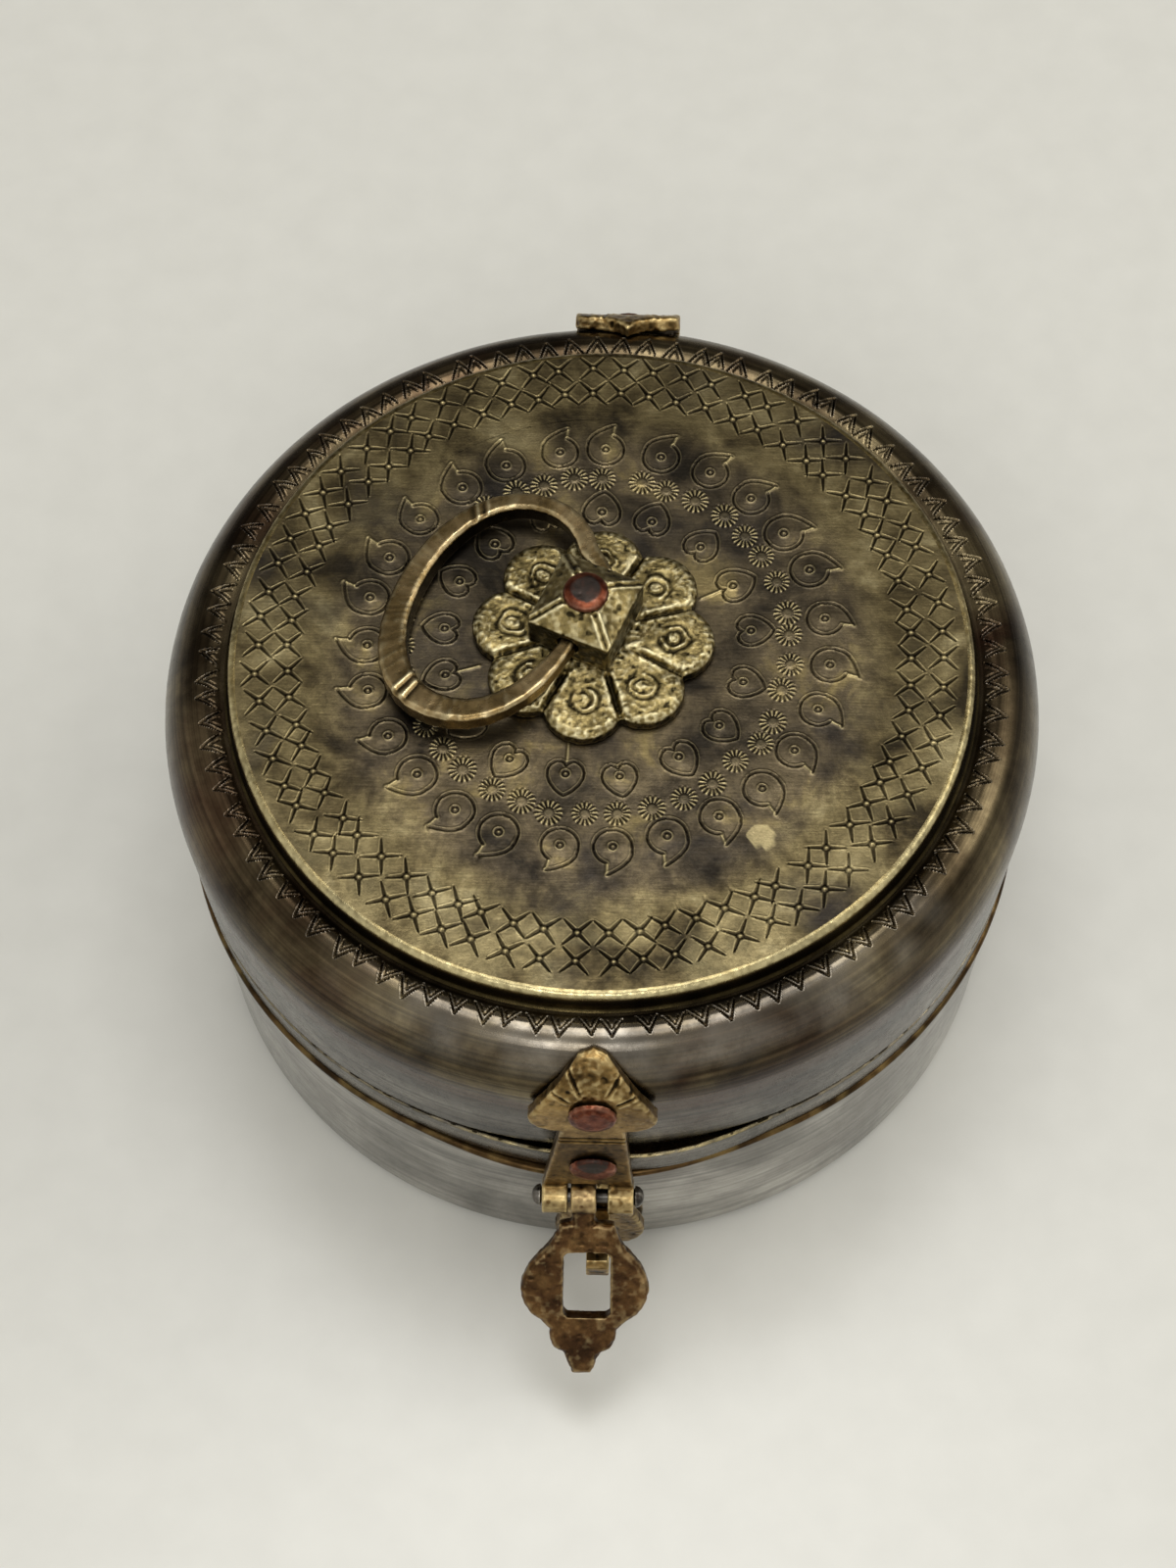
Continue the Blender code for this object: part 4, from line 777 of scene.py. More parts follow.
def edge_relief(base, length, angle):
    """Rough rubbed bead over the panel's edge with a painted highlight towards the front, and painted
    shade on the step wall and in the groove.
    """
    bead = bell(length - 1.4, 1.2)
    rough = 0.05 * lumps(base, 1.1, 5) + 0.03 * lumps(base, 0.6, 6)
    lift = 0.03 * lumps(base, 6.0, 4) + bead * (0.08 + rough)
    front_highlight = 0.6 + 0.4 * np.cos(angle)
    # Painted highlight on the bead, strongest at the front, and painted shade from the step wall down
    # into the groove.
    tone = bead * (0.8 * front_highlight + 0.35 * lumps(base, 0.8, 8)) - 0.8 * soft_step(length, 2.2, 3.0)
    return lift * soft_step(length, 0.0, 0.5), tone


GROOVE_WALL, GROOVE_SIDE = ((0.05, 2.2), (0.2, 1.2), (0.5, 0.4), (1.1, 0)), ((1.9, 0.10), (2.8, 0.42))


def groove_points(pairs):
    """Points of the groove, given as (out from the panel, up from its floor)."""
    return [(PANEL_RADIUS + out, GROOVE_FLOOR + up) for out, up in pairs]


edge_line = [(PANEL_FLAT, PANEL_TOP)]
edge_line += rounded_corner((PANEL_FLAT, PANEL_TOP - PANEL_ROUND), PANEL_ROUND, 90, 0, 9)[1:]
edge_line += groove_points(GROOVE_WALL)
turned_ring("lid_panel_edge", edge_line, 0.28, 1700, edge_relief, rubbed_brass)

# %% [markdown]
# The V marks differ as the panel's figures do: in their place, their distance from the groove,
# their size and their lean. Painted shade lies in the groove's outer half too, and a painted
# highlight lies on the shoulder on both sides of the clasp.

# %% V marks on the shoulder
CHEVRON_COUNT, CHEVRON_REACH, CHEVRON_END = 95, 0.055, 7.5
chevron_places = np.arange(CHEVRON_COUNT) + slips.normal(0, 0.10, CHEVRON_COUNT)
chevron_places *= TURN / CHEVRON_COUNT
chevron_starts = slips.normal(1.7, 0.25, CHEVRON_COUNT)
chevron_sizes = slips.uniform(0.9, 1.06, CHEVRON_COUNT)
chevron_leans = slips.normal(0, 0.10, CHEVRON_COUNT)


def front_shoulder_highlight(base, angle):
    """Painted highlight on the shoulder's front, on both sides of the clasp."""
    return 0.55 * soft_step(np.cos(angle - 0.15), 0.55, 1.0) * (0.6 + 0.4 * lumps(base, 5.0, 12))


def shoulder_relief(base, length, angle):
    """V marks struck into the shoulder, the faint waves of a spun sheet, painted shade in the groove and
    a painted highlight at the front.
    """
    waves = (0.03 * lumps(base, 7.0, 9) + 0.012 * lumps(base, 2.4, 10)) * soft_step(length, 0.0, 1.0)
    # Painted shade in the groove's outer half, and the painted highlight at the front.
    groove_shade = 0.6 * (1 - soft_step(length, 0.2, 1.9))
    marks = np.array([waves, front_shoulder_highlight(base, angle) - groove_shade])
    radius = np.hypot(base[:, 0], base[:, 1])
    for place, start, size, lean in zip(chevron_places, chevron_starts, chevron_sizes, chevron_leans):
        off = (angle - place + math.pi) % TURN - math.pi
        near = np.flatnonzero((np.abs(off) < CHEVRON_REACH) & (length < CHEVRON_END))
        down = length[near] - start
        across = off[near] * radius[near] + lean * down
        marks[:, near] += chevron(np.stack([across, down], axis=1) / size)
    return marks


chevron_line = [edge_line[-1], *groove_points(GROOVE_SIDE), (CREST_RADIUS - 1.0, CREST_HEIGHT - 0.17),
                *shoulder_points(0, 26, 30)]
turned_ring("lid_shoulder_chevrons", chevron_line, 0.24, 2200, shoulder_relief, shoulder_brass)

# %% [markdown]
# ## The lid's side
# Below the V marks the shoulder rolls down into the skirt. The skirt draws in at its foot, so that
# the band can lie flush in its seat. It is laid like the shoulder, only coarser, and its surface
# wavers a little, as metal does that was pressed over a wooden form: that bends the reflections.

# %% The lid's side
SKIRT_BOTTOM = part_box("lid_shell")[0].z / MM
SKIRT_FOOT_RADIUS, SKIRT_FLARE = 92.9, 2.4
BAND_BOTTOM, BAND_TOP = SKIRT_BOTTOM + 0.3, SKIRT_BOTTOM + 8.8
BAND_SEAT, SEAT_TOP, SEAT_SLOPE = 1.0, SKIRT_BOTTOM + 9.1, 1.6


def skirt_radius(height):
    return SKIRT_FOOT_RADIUS + SKIRT_FLARE * (height - SKIRT_BOTTOM) / (WIDEST - SKIRT_BOTTOM)


def waver_relief(base, length, angle):
    lift = (0.09 * lumps(base, 21.0, 20) + 0.03 * lumps(base, 7.0, 21)) * soft_step(length, 0.0, 3.0)
    # The tone is the painted highlight on the shoulder's front, fading out down the side.
    return lift, front_shoulder_highlight(base, angle) * soft_step(base[:, 2], WIDEST + 5, WIDEST + 12)


side_line = shoulder_points(26, 90, 50)
side_line += [(skirt_radius(SEAT_TOP + SEAT_SLOPE), SEAT_TOP + SEAT_SLOPE),
              (skirt_radius(SEAT_TOP) - BAND_SEAT, SEAT_TOP),
              (SKIRT_FOOT_RADIUS - BAND_SEAT, SKIRT_BOTTOM)]
corners = np.cumsum(np.linalg.norm(np.diff(np.array(side_line), axis=0), axis=1))
side_places = np.unique(np.concatenate([spaced(0, corners[-1], 0.9), corners[-3:]]).round(3))
turned_ring("lid_side", side_line, side_places, 640, waver_relief, shoulder_brass, 40)

# %% [markdown]
# ## Spinning on the lathe
# The base, its rim and the band are turned forms, so they are made as on a lathe. A wire circle gets
# as many points as the outline, its points are set on the outline, and the spin operator carries it
# round the axis in many steps. Doubles are merged and the normals made to point outwards. After that
# the points may be pushed about, as a real hoop is bent out of true.

# %% Spinning on the lathe


def only(piece):
    bpy.ops.object.select_all(action="DESELECT")
    piece.select_set(True)
    bpy.context.view_layer.objects.active = piece


def spun(name, outline, steps):
    """Turn a closed outline of (radius, height) points about Z."""
    bpy.ops.object.select_all(action="DESELECT")
    bpy.ops.mesh.primitive_circle_add(vertices=len(outline), radius=MM)
    piece = bpy.context.object
    piece.name = name
    for point, (radius, height) in zip(piece.data.vertices, outline):
        point.co = (radius * MM, 0, height * MM)
    bpy.ops.object.mode_set(mode="EDIT")
    bpy.ops.mesh.select_all(action="SELECT")
    bpy.ops.mesh.spin(steps=steps, angle=TURN, center=(0, 0, 0), axis=(0, 0, 1))
    bpy.ops.mesh.select_all(action="SELECT")
    bpy.ops.mesh.remove_doubles(threshold=0.005 * MM)
    bpy.ops.mesh.delete_loose(use_verts=True, use_edges=True, use_faces=False)
    bpy.ops.mesh.select_all(action="SELECT")
    bpy.ops.mesh.normals_make_consistent(inside=False)
    bpy.ops.object.mode_set(mode="OBJECT")
    return piece


def read_points(piece):
    """Points and outward directions of a mesh, in mm."""
    count = len(piece.data.vertices)
    points, normals = np.empty(count * 3, np.float32), np.empty(count * 3, np.float32)
    piece.data.vertices.foreach_get("co", points)
    piece.data.vertex_normals.foreach_get("vector", normals)
    return points.reshape(-1, 3).astype(float) / MM, normals.reshape(-1, 3).astype(float)


def set_points(piece, points):
    """Move a mesh's points, given in mm."""
    piece.data.vertices.foreach_set("co", (points * MM).astype(np.float32).ravel())
    piece.data.update()


def outward(points):
    """Unit direction from the axis and the angle right of the clasp."""
    plan = points[:, :2]
    direction = plan / np.maximum(np.linalg.norm(plan, axis=1), 1e-9)[:, None]
    return np.column_stack([direction, np.zeros(len(plan))]), np.arctan2(points[:, 0], -points[:, 1])


def swell(angle, start, peak, end):
    """Share of a bulge at an angle right of the clasp: none at its start and end, all at its peak."""
    along = angle * SKIRT_FOOT_RADIUS
    share = np.where(along < peak, (along - start) / (peak - start), (end - along) / (end - peak))
    return (1 - np.cos(math.pi * np.clip(share, 0, 1))) / 2


# %% [markdown]
# ## Band
# A thin brass hoop lies round the skirt's foot. Right of the clasp it has sprung out of its seat, and
# there its upper edge stands free, bright and chipped, with a black gap behind it.

# %% Band
BAND_THICKNESS, BAND_SPRING, BAND_EDGE = 0.7, 2.2, 0.12
SPRING_PLACES = (-40.0, 13.0, 46.0)       # mm right of the clasp: start, peak and end
foot_radius, head_radius = skirt_radius(BAND_BOTTOM), skirt_radius(BAND_TOP)
band_outline = [(foot_radius - BAND_THICKNESS, BAND_BOTTOM), (foot_radius - 0.2, BAND_BOTTOM)]
band_heights = spaced(BAND_BOTTOM + 0.15, BAND_TOP - BAND_EDGE, 0.9)
band_outline += [(skirt_radius(height), height) for height in band_heights]
band_outline += [(head_radius - BAND_EDGE, BAND_TOP), (head_radius - BAND_THICKNESS, BAND_TOP)]
band = spun("band", band_outline, 720)
points, _ = read_points(band)
away, angle = outward(points)
sprung = swell(angle, *SPRING_PLACES)
edge = soft_step(points[:, 2], BAND_TOP - 0.8, BAND_TOP - 0.1)
points += away * (BAND_SPRING * sprung + 0.05 * lumps(points, 13.0, 31))[:, None]
chips = 0.16 * lumps(points, 2.2, 32) + 0.10 * lumps(points, 0.8, 33)
points[:, 2] -= edge * np.maximum(chips, -0.05)
set_points(band, points)
rubbed = edge * (0.25 + 0.75 * sprung) * (0.6 + 0.6 * lumps(points, 1.3, 34))
stand_in(band, rubbed, band_brass, "lid_band", "grey_brass", "lid")

# %% [markdown]
# ## Base
# The base is one deep spun pan with a narrow foot. Its wall is grey and streaked by the lathe, and
# since it is wiped clean it mirrors the table.

# %% Base
BASE_HEIGHT = SKIRT_BOTTOM - 0.3
WALL_TOP, WALL_TOP_RADIUS, WALL_TAPER, FOOT_ROUND = BASE_HEIGHT - 2.2, 92.5, 2.2, 4.5


def wall_radius(height):
    return WALL_TOP_RADIUS - WALL_TAPER * (1 - height / WALL_TOP)


taper = math.degrees(math.atan2(WALL_TAPER, WALL_TOP))
corner = (wall_radius(FOOT_ROUND) - FOOT_ROUND / math.cos(math.radians(taper)), FOOT_ROUND)
bowl_line = [(radius, 0.0) for radius in spaced(0.0, corner[0] - 1, 9.0)]
bowl_line += rounded_corner(corner, FOOT_ROUND, -90, -taper, 10)
bowl_line += [(wall_radius(height), height) for height in spaced(FOOT_ROUND + 1.5, WALL_TOP, 1.6)]
inner_line = np.array(bowl_line) + SHEET * normals_left(np.array(bowl_line))
inner_line[0][0], inner_line[-1][1] = 0.0, WALL_TOP
bowl = spun("base_pan", bowl_line + [tuple(point) for point in inner_line[::-1]], 400)
points, _ = read_points(bowl)
away, angle = outward(points)
side = soft_step(points[:, 2], 3.0, 12.0) * (1 - soft_step(points[:, 2], WALL_TOP - 6, WALL_TOP - 1))
points += away * (side * (0.12 * lumps(points, 24.0, 41) + 0.04 * lumps(points, 9.0, 42)))[:, None]
set_points(bowl, points)
# Painted shadow: the wall darkens over its lowest 2.5 mm, where it meets the table.
foot_shade = -0.35 * (1 - soft_step(points[:, 2], 0.0, 2.5))
stand_in(bowl, foot_shade, wall_brass, "base_bowl", "grey_brass", "base")

# %% [markdown]
# ## Ledge
# On top of the base sits a round ledge with an upstand that guides the lid. It is pushed out of
# round behind the clasp.

# %% Ledge
LEDGE_THICKNESS, LEDGE_OVERHANG, LEDGE_BULGE, BULGE_REACH = 1.9, 1.2, 2.6, 44.0
LIP_OUTER, LIP_THICKNESS, LIP_HEIGHT, LIP_EDGE = 89.7, 1.2, 4.0, 0.3
half_ledge = LEDGE_THICKNESS / 2
ledge_radius = WALL_TOP_RADIUS + LEDGE_OVERHANG - half_ledge
underside = BASE_HEIGHT - LEDGE_THICKNESS
lip_inner, lip_top = LIP_OUTER - LIP_THICKNESS, BASE_HEIGHT + LIP_HEIGHT
rim_outline = [(lip_inner, underside)]
rim_outline += rounded_corner((ledge_radius, underside + half_ledge), half_ledge, -90, 90, 12)
rim_outline += [(LIP_OUTER, BASE_HEIGHT), (LIP_OUTER, lip_top - LIP_EDGE),
                (LIP_OUTER - LIP_EDGE, lip_top), (lip_inner + LIP_EDGE, lip_top),
                (lip_inner, lip_top - LIP_EDGE)]
ledge = spun("base_ledge", rim_outline, 720)
points, _ = read_points(ledge)
away, angle = outward(points)
outside = (np.hypot(points[:, 0], points[:, 1]) > LIP_OUTER + 0.5) * 1.0
bulge = LEDGE_BULGE * swell(angle, -BULGE_REACH, 0.0, BULGE_REACH)
points += away * (outside * (bulge + 0.04 * lumps(points, 8.0, 44)))[:, None]
set_points(ledge, points)
worn = outside * (0.1 + 0.5 * lumps(points, 3.0, 45))
stand_in(ledge, worn, ledge_brass, "base_rim", "olive_brass", "base")

# %% [markdown]
# ## Cast pieces
# The flower, the block, the plates, the hasp and the ring were cast in sand and filed by hand. The
# CAD gives their true outline in few faces. A merged copy of each is remeshed into small even faces,
# which a carver can push about: a skin of sand grain and pits, then grooves, rings and ridges where
# the photograph shows them. Each carving is a function that gives the marks at a piece's points.
# Edges and corners need no carving: where a point stands out from its neighbours, it is rubbed.

# %% Cast pieces
CAST_SHARP = math.radians(75)


def cast_copy(node, name, grain, smooth):
    """A merged copy of a CAD node in small even faces."""
    piece = bpy.data.objects.new(name, frame["nodes"][node].data.copy())
    bpy.context.scene.collection.objects.link(piece)
    only(piece)
    bpy.ops.object.mode_set(mode="EDIT")
    bpy.ops.mesh.select_all(action="SELECT")
    bpy.ops.mesh.remove_doubles(threshold=0.002 * MM)
    bpy.ops.object.mode_set(mode="OBJECT")
    even = piece.modifiers.new("even faces", "REMESH")
    even.mode = "VOXEL"
    even.voxel_size = grain * MM
    bpy.ops.object.modifier_apply(modifier=even.name)
    ease = piece.modifiers.new("rubbed smooth", "SMOOTH")
    ease.factor, ease.iterations = 0.5, smooth
    bpy.ops.object.modifier_apply(modifier=ease.name)
    return piece


def standing_out(piece, points, normals):
    """How far each point stands out: about 1 on a sharp edge, 0 on a flat, below 0 in a corner."""
    ends = np.empty(len(piece.data.edges) * 2, np.int32)
    piece.data.edges.foreach_get("vertices", ends)
    first, second = ends.reshape(-1, 2).T
    step = points[second] - points[first]
    step /= np.maximum(np.linalg.norm(step, axis=1), 1e-6)[:, None]
    count = np.bincount(ends, minlength=len(points))
    rise = np.bincount(first, -(normals[first] * step).sum(axis=1), len(points))
    rise = (rise + np.bincount(second, (normals[second] * step).sum(axis=1), len(points))) / count
    for _ in range(3):
        around = np.bincount(first, rise[second], len(points))
        around += np.bincount(second, rise[first], len(points))
        rise = 0.4 * rise + 0.6 * around / count
    return rise * 5


def carve(node, name, grain, relief, material, slot, body, smooth=3):
    """Carve a fine copy of a cast node: push its points along their normals, and dress it."""
    piece = cast_copy(node, name, grain, smooth)
    points, normals = read_points(piece)
    worn = np.clip(standing_out(piece, points, normals), -0.7, 0.9)
    lift, tone = relief(points, normals)
    set_points(piece, points + normals * lift[:, None])
    stand_in(piece, tone + worn, material, node, slot, body, CAST_SHARP)


def sand_skin(points, seed, depth, grain):
    """Skin of a sand casting: lumps, finer grain and a few pits."""
    coarse, fine = lumps(points, 1.5 * grain, seed), lumps(points, 0.7 * grain, seed + 1)
    pits = soft_step(lumps(points, 1.1 * grain, seed + 2), 0.38, 0.75)
    return np.array([depth * (0.7 * coarse + 0.5 * fine - 1.2 * pits),
                     0.30 * coarse + 0.5 * fine - 0.9 * pits])


def plan_about(points, middle, degrees):
    """Points seen from above in a frame turned about a middle."""
    angle = math.radians(degrees)
    across = np.array([[math.cos(angle), math.sin(angle)], [-math.sin(angle), math.cos(angle)]])
    return (points[:, :2] - middle) @ across.T


# %% [markdown]
# ## Flower
# Eight petals, each with an eye of two broken rings, parted by grooves with a ridge on both sides.
# The rims carry short ticks from the file, and the flower's side carries painted shade.

# %% Flower
FLOWER_MIDDLE, FLOWER_TURN, PETALS = np.array([-1.8, 4.4]), -5.5, 8
PETAL_CENTRE, PETAL_TICKS = 17.3, 26
PETAL_RINGS = ((3.3, 0.34, 1.0), (1.75, 0.28, -1.0))      # radius, width, side that is struck deeper
PETAL_SEAM = (0.42, -0.30, -0.9), (1.15, 0.36, 0.26, 0.8)


def flower_relief(points, normals):
    plan = plan_about(points, FLOWER_MIDDLE, FLOWER_TURN)
    reach, angle = polar(plan)
    pitch = TURN / PETALS
    petal = np.round(angle / pitch) * pitch
    local = plan - PETAL_CENTRE * np.stack([np.cos(petal), np.sin(petal)], axis=1)
    local = local + 0.8 * np.stack([lumps(points, 2.4, 50), lumps(points, 2.4, 51)], axis=1)
    away, turn = polar(local)
    turn -= petal
    face = soft_step(normals[:, 2], 0.55, 0.85)
    marks = sand_skin(points, 52, 0.12, 0.7) + mark(face * bell(away, 0.5), 0.22, 0.8)
    for radius, width, deeper in PETAL_RINGS:
        broken = soft_step(lumps(points, 2.2, 55) + 0.75 + 0.3 * deeper * np.cos(turn), 0.15, 0.6)
        marks += face * broken * scored(away - radius, (width, -0.34, -1.0), (-0.65, 0.3, 0.14, 0.6))
    seam = np.abs(reach * np.sin(angle - (np.floor(angle / pitch) + 0.5) * pitch))
    marks += face * soft_step(reach, 10.5, 12.5) * scored(seam, *PETAL_SEAM)
    ticks = 0.5 + 0.5 * np.sin(PETAL_TICKS * turn + 3 * lumps(points, 5.0, 57))
    ticks *= soft_step(away, 6.9, 7.5)
    marks[0] += face * ticks * 0.10
    marks[1] += face * (0.9 * ticks - 0.2) * soft_step(away, 7.0, 7.7)
    # Painted shade on the flower's side, where its faces turn away from the top.
    marks[1] -= 0.8 * (1 - soft_step(normals[:, 2], 0.1, 0.5))
    return marks


carve("handle_rosette", "flower", 0.33, flower_relief, cast_brass, "cast_brass", "lid")

# %% [markdown]
# ## Block
# The handle's square block has a low pyramid on top. A pair of ridges with a dark groove between them
# runs from the rivet to each corner.

# %% Block
BLOCK_TURN = 67.0
BLOCK_ARM = (0.36, -0.42, -1.2), (0.85, 0.34, 0.26, 0.95)


def block_relief(points, normals):
    plan = plan_about(points, HANDLE_PLACE, BLOCK_TURN)
    off = np.abs(np.abs(plan[:, 0]) - np.abs(plan[:, 1])) / math.sqrt(2)
    arm = soft_step(normals[:, 2], 0.35, 0.6) * soft_step(np.hypot(*plan.T), 5.0, 5.6)
    marks = sand_skin(points, 60, 0.10, 1.2) + arm * scored(off, *BLOCK_ARM)
    # Painted shade on the block's sides.
    marks[1] -= 0.9 * (1 - soft_step(normals[:, 2], 0.05, 0.3))
    return marks


carve("handle_block", "handle_eye_block", 0.28, block_relief, cast_brass, "cast_brass", "lid")

# %% [markdown]
# ## Ring handle
# The ring is a forged bar with marks of the file on its upper side and two pairs of notches across
# it. Its sides carry painted shade, darkest on the side that faces its own middle.

# %% Ring handle
RING_PIVOT = np.array([-3.3, 6.0, 116.3])
RING_TILT, RING_OUT, RING_ALONG = 8.52, 19.4, -5.9
NOTCH_PLACES, NOTCH_APART = (32, 164), 1.2        # degrees round the ring, mm to each side
NOTCH = (0.5, -0.28, -0.7), (-1.0, 0.4, 0.10, 0.7)


def ring_ways():
    """The two directions of the ring's plane: along its pivot and out from it."""
    turn, tilt = math.radians(BLOCK_TURN), math.radians(RING_TILT)
    along = np.array([math.cos(turn), math.sin(turn), 0.0])
    level = np.array([-math.sin(turn), math.cos(turn), 0.0])
    return along, level * math.cos(tilt) - np.array([0, 0, 1.0]) * math.sin(tilt)


def ring_relief(points, normals):
    along_way, out_way = ring_ways()
    local = points - RING_PIVOT
    angle = np.arctan2(local @ out_way - RING_OUT, local @ along_way - RING_ALONG)
    run = np.outer(angle * 24.0, (1, 0, 0))
    filed = lumps(run, 0.8, 70) * 0.6 + lumps(run, 2.0, 71) * 0.4
    face = soft_step(normals[:, 2], 0.5, 0.8)
    marks = sand_skin(points, 72, 0.022, 1.6) * [[1], [0.35]] + mark(face * filed, 0.03, 0.2)
    for middle in NOTCH_PLACES:
        for off in (-NOTCH_APART, NOTCH_APART):
            marks += face * scored((angle - math.radians(middle)) * 25.0 - off, *NOTCH)
    # Painted shade on the ring's sides, darkest on the side that faces its own middle.
    side = 1 - soft_step(normals[:, 2], 0.2, 0.6)
    inwards = -(np.cos(angle) * (normals @ along_way) + np.sin(angle) * (normals @ out_way))
    marks[1] -= side * (0.3 + 0.75 * soft_step(inwards, 0.1, 0.5))
    return marks


carve("handle_ring", "ring_handle", 0.29, ring_relief, ring_bronze, "bronze_brown", "handle_ring", 2)

# %% [markdown]
# ## Clasp and hinge plates
# The plates on the lid are spade leaves with a pitted tip. Chisel lines fan out from the rivet, a
# pair on each side, and two lines cross the strap below it. The leaf is bent over the shoulder, so a
# point's place on it is measured along the bent line: that gives how far across and how far up the
# flat blank it lay. The plates on the base are plain.

# %% Clasp and hinge plates
CLASP_PIN = np.array([-0.5, -100.6, 51.1])
HINGE_PIN = np.array([3.7, 99.8, 52.9])
FAN_DEGREES, FAN_LINE = (30, 60, 115, 145), ((0.26, -0.26, -1.1), (0.62, 0.26, 0.16, 0.75))
CROSS_PLACES, CROSS_LINE = (26.2, 27.6), ((0.32, -0.30, -1.1), (-0.7, 0.3, 0.12, 0.5))


def plate_place(points, pin, middle):
    """Across and along the flat blank, measured from the pin."""
    line = [(abs(pin[1]) - 3.5, pin[2])] + shoulder_points(90, 0, 40)
    flat = np.column_stack([np.abs(points[:, 1]), points[:, 2]])
    length = np.sum(np.linalg.norm(np.diff(np.array(line), axis=0), axis=1))
    return np.column_stack([points[:, 0] - middle, line_distance(flat, line)[1] * length])


def leaf_relief(pin, middle, rivet_up, seed):
    """Relief of a lid plate whose rivet sits that far up from the pin."""
    def relief(points, normals):
        across, up = plate_place(points, pin, middle).T
        local = np.stack([across, up - rivet_up], axis=1)
        marks = sand_skin(points, seed, 0.05, 1.0) * [[1], [0.5]]
        marks += soft_step(local[:, 1], 1.0, 5.0) * sand_skin(points, seed + 4, 0.15, 1.3)
        face = soft_step(normals @ np.array([0, math.copysign(0.7, pin[1]), 0.7]), 0.45, 0.75)
        for degrees in FAN_DEGREES:
            direction = np.array([math.cos(math.radians(degrees)), math.sin(math.radians(degrees))])
            off = np.abs(local @ np.array([-direction[1], direction[0]]))
            marks += face * soft_step(local @ direction, 5.4, 6.2) * scored(off, *FAN_LINE)
        for place in CROSS_PLACES:
            marks += face * scored(up - place, *CROSS_LINE)
        marks[1] -= 0.35 * soft_step(up, 4.0, 6.0) * (1 - soft_step(up, 26.5, 28.0))
        marks[1] += 0.35 * (1 - soft_step(up, 3.0, 4.5))
        return marks
    return relief


def plain_relief(seed, depth):
    return lambda points, _: sand_skin(points, seed, depth, 1.2)


for node, name, grain, relief, body in (
        ("clasp_plate", "clasp_leaf_plate", 0.28, leaf_relief(CLASP_PIN, 0.7, 38.8, 80), "lid"),
        ("hinge_lid_plate", "hinge_leaf_plate", 0.36, leaf_relief(HINGE_PIN, 3.7, 38.0, 90), "lid"),
        ("hinge_base_plate", "hinge_foot_plate", 0.36, plain_relief(100, 0.10), "base"),
        ("staple_plate", "staple_leaf_plate", 0.32, plain_relief(104, 0.10), "base"),
        ("staple", "staple_eye", 0.22, plain_relief(108, 0.08), "base")):
    carve(node, name, grain, relief, leaf_brass, "cast_brass", body)

# %% [markdown]
# ## Hasp
# The hasp is the roughest casting: brown and pitted all over, its edges and high spots rubbed to gold.

# %% Hasp


def hasp_relief(points, normals):
    lift, tone = sand_skin(points, 112, 0.16, 1.6) + sand_skin(points, 116, 0.05, 0.8) * [[1], [0.6]]
    return lift, 0.5 * tone + 0.5 * soft_step(points[:, 2], CLASP_PIN[2] - 3.0, CLASP_PIN[2])


carve("hasp", "openwork_hasp", 0.28, hasp_relief, pitted_brass, "pitted_brass", "hasp")

# %% [markdown]
# ## Rivets, pins and washer
# Rivets are soft copper, hammered over: flattened heads with a dark middle and a red rim. The pins
# are iron, peened at both ends.

# %% Rivets, pins and washer


def rivet_relief(outward_to, dark):
    """Relief of a hammered head whose middle, out to a radius, has gone dark."""
    def relief(points, normals):
        direction = np.array(outward_to) / np.linalg.norm(outward_to)
        depth = points @ direction
        off = points - points[depth > depth.max() - 1.0].mean(axis=0)
        away = np.linalg.norm(off - (off @ direction)[:, None] * direction, axis=1)
        lift, tone = sand_skin(points, 120, 0.04, 1.4)
        edge = away + 0.35 * lumps(points, 2.0, 124)
        return lift, 0.35 * tone - 0.95 * (1 - soft_step(edge, dark - 0.4, dark + 0.4))
    return relief


UP, DOWN, SIDE, FRONT, BACK = (0, 0, 1), (0, 0, -1), (1, 0, 0), (0, -1, 0), (0, 1, 0)
FASTENERS = (
    # slot, metal, and for each piece: node, name, way out, radius that has gone dark
    ("copper", copper, (("handle_rivet", "handle_rivet_head", UP, 3.3),
                        ("clasp_leaf_rivet", "clasp_leaf_rivet_head", (0, -1, 0.12), 0),
                        ("clasp_strap_rivet", "clasp_strap_rivet_head", (0, -1, 0.8), 3.4),
                        ("hinge_lid_leaf_rivet", "hinge_leaf_rivet_head", (0, 1, 0.12), 2.5),
                        ("hinge_lid_strap_rivet", "hinge_strap_rivet_head", BACK, 3.0),
                        ("hinge_base_upper_rivet", "hinge_foot_rivet_upper", BACK, 1.5),
                        ("hinge_base_lower_rivet", "hinge_foot_rivet_lower", BACK, 1.5),
                        ("staple_rivet", "staple_rivet_head", FRONT, 1.5))),
    ("dark_iron", iron, (("clasp_pin", "clasp_pin_peened", SIDE, 0),
                         ("hinge_pin", "hinge_pin_peened", SIDE, 0))),
    ("cast_brass", leaf_brass, (("handle_washer", "washer_inside", DOWN, 0),)))
for slot, material, pieces in FASTENERS:
    for node, name, outward_to, dark in pieces:
        body = frame["nodes"][node].parent.name.split(":")[1]
        carve(node, name, 0.26, rivet_relief(outward_to, dark), material, slot, body, 2)

# %% [markdown]
# ## Floor, lamps and world
# The box stands on a pale, slightly glossy table. Soft lamps stand for a window on the right, a
# ceiling above and a little behind, and a doorway in front. The world fills the rest with pale grey,
# darker on the far side, so that the metal has something dark to mirror.

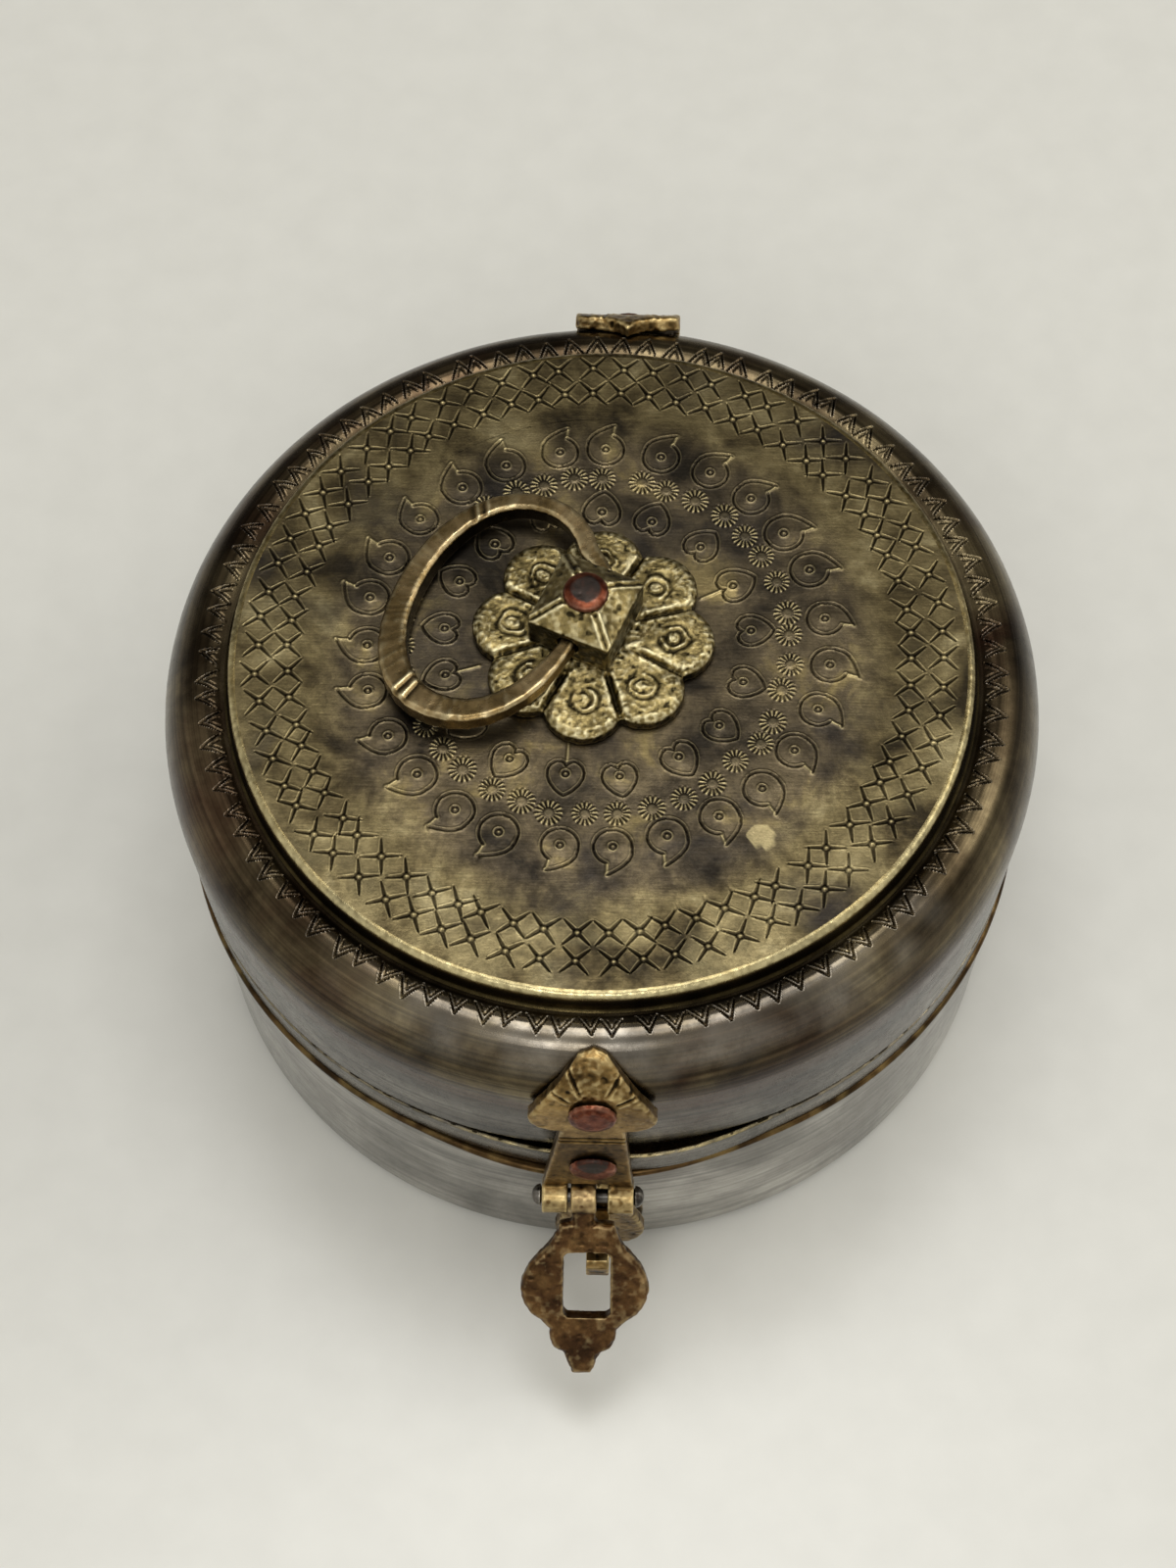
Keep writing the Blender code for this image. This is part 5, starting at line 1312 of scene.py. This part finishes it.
# %% Floor, lamps and world
FLOOR_SIZE, FLOOR_GRAIN = 3.2, 90.0
LAMP_TARGET = Vector((0, 0, 0.05))
FAR_WALL = (0.28, 0.62)
bpy.ops.object.select_all(action="DESELECT")
bpy.ops.mesh.primitive_plane_add(size=FLOOR_SIZE, location=(0, 0, 0))
floor = bpy.context.object
floor.name = "floor"
# Polished stone: pale, nearly even, with a soft reflection of the box.
table = bpy.data.materials.new("pale_polished_stone")
table.use_nodes = True
tree = table.node_tree
stone = tree.nodes["Principled BSDF"]
stone.inputs["Roughness"].default_value = 0.32
grain_place = add_node(tree, "TexCoord", out="Object")
cloud = add_node(tree, "TexNoise", {"Vector": grain_place, "Scale": FLOOR_GRAIN, "Detail": 4.0})
pale = add_node(tree, "ValToRGB", {"Fac": cloud},
                stops=((0.30, paint("D2D1CA")), (0.70, paint("D6D5CE"))))
tree.links.new(pale, stone.inputs["Base Color"])
floor.data.materials.append(table)


def soft_lamp(name, place, size, power, colour):
    """A square area lamp that looks at the box."""
    lamp = bpy.data.objects.new(name, bpy.data.lights.new(name, "AREA"))
    lamp.data.shape = "SQUARE"
    lamp.data.size = size
    lamp.data.energy = power
    lamp.data.color = paint(colour)[:3]
    lamp.location = place
    lamp.rotation_euler = (LAMP_TARGET - Vector(place)).to_track_quat("-Z", "Y").to_euler()
    bpy.context.scene.collection.objects.link(lamp)


soft_lamp("window", (0.85, 0.30, 0.95), 0.6, 2.7, "FFFDF8")
soft_lamp("ceiling", (0.0, 0.14, 1.25), 0.55, 4.5, "FFFFFF")
soft_lamp("doorway", (-0.05, -0.70, 0.92), 0.28, 1.7, "FFFFFF")
world = bpy.data.worlds.new("room")
world.use_nodes = True
tree = world.node_tree
room = tree.nodes["Background"]
way = add_node(tree, "SeparateXYZ", {0: add_node(tree, "TexCoord", out="Generated")}, 1)
far_wall = add_node(tree, "MapRange", {0: way, 1: FAR_WALL[0], 2: FAR_WALL[1]},
                    interpolation_type="SMOOTHSTEP")
walls = add_node(tree, "Mix", {"Factor": far_wall, 6: paint("F4F2EC"), 7: paint("7C7A75")}, **MIX_COLOUR)
tree.links.new(walls, room.inputs["Color"])
room.inputs["Strength"].default_value = 0.82
bpy.context.scene.world = world
bpy.context.scene.view_settings.view_transform = "Standard"
print("lamps:", len(bpy.data.lights))
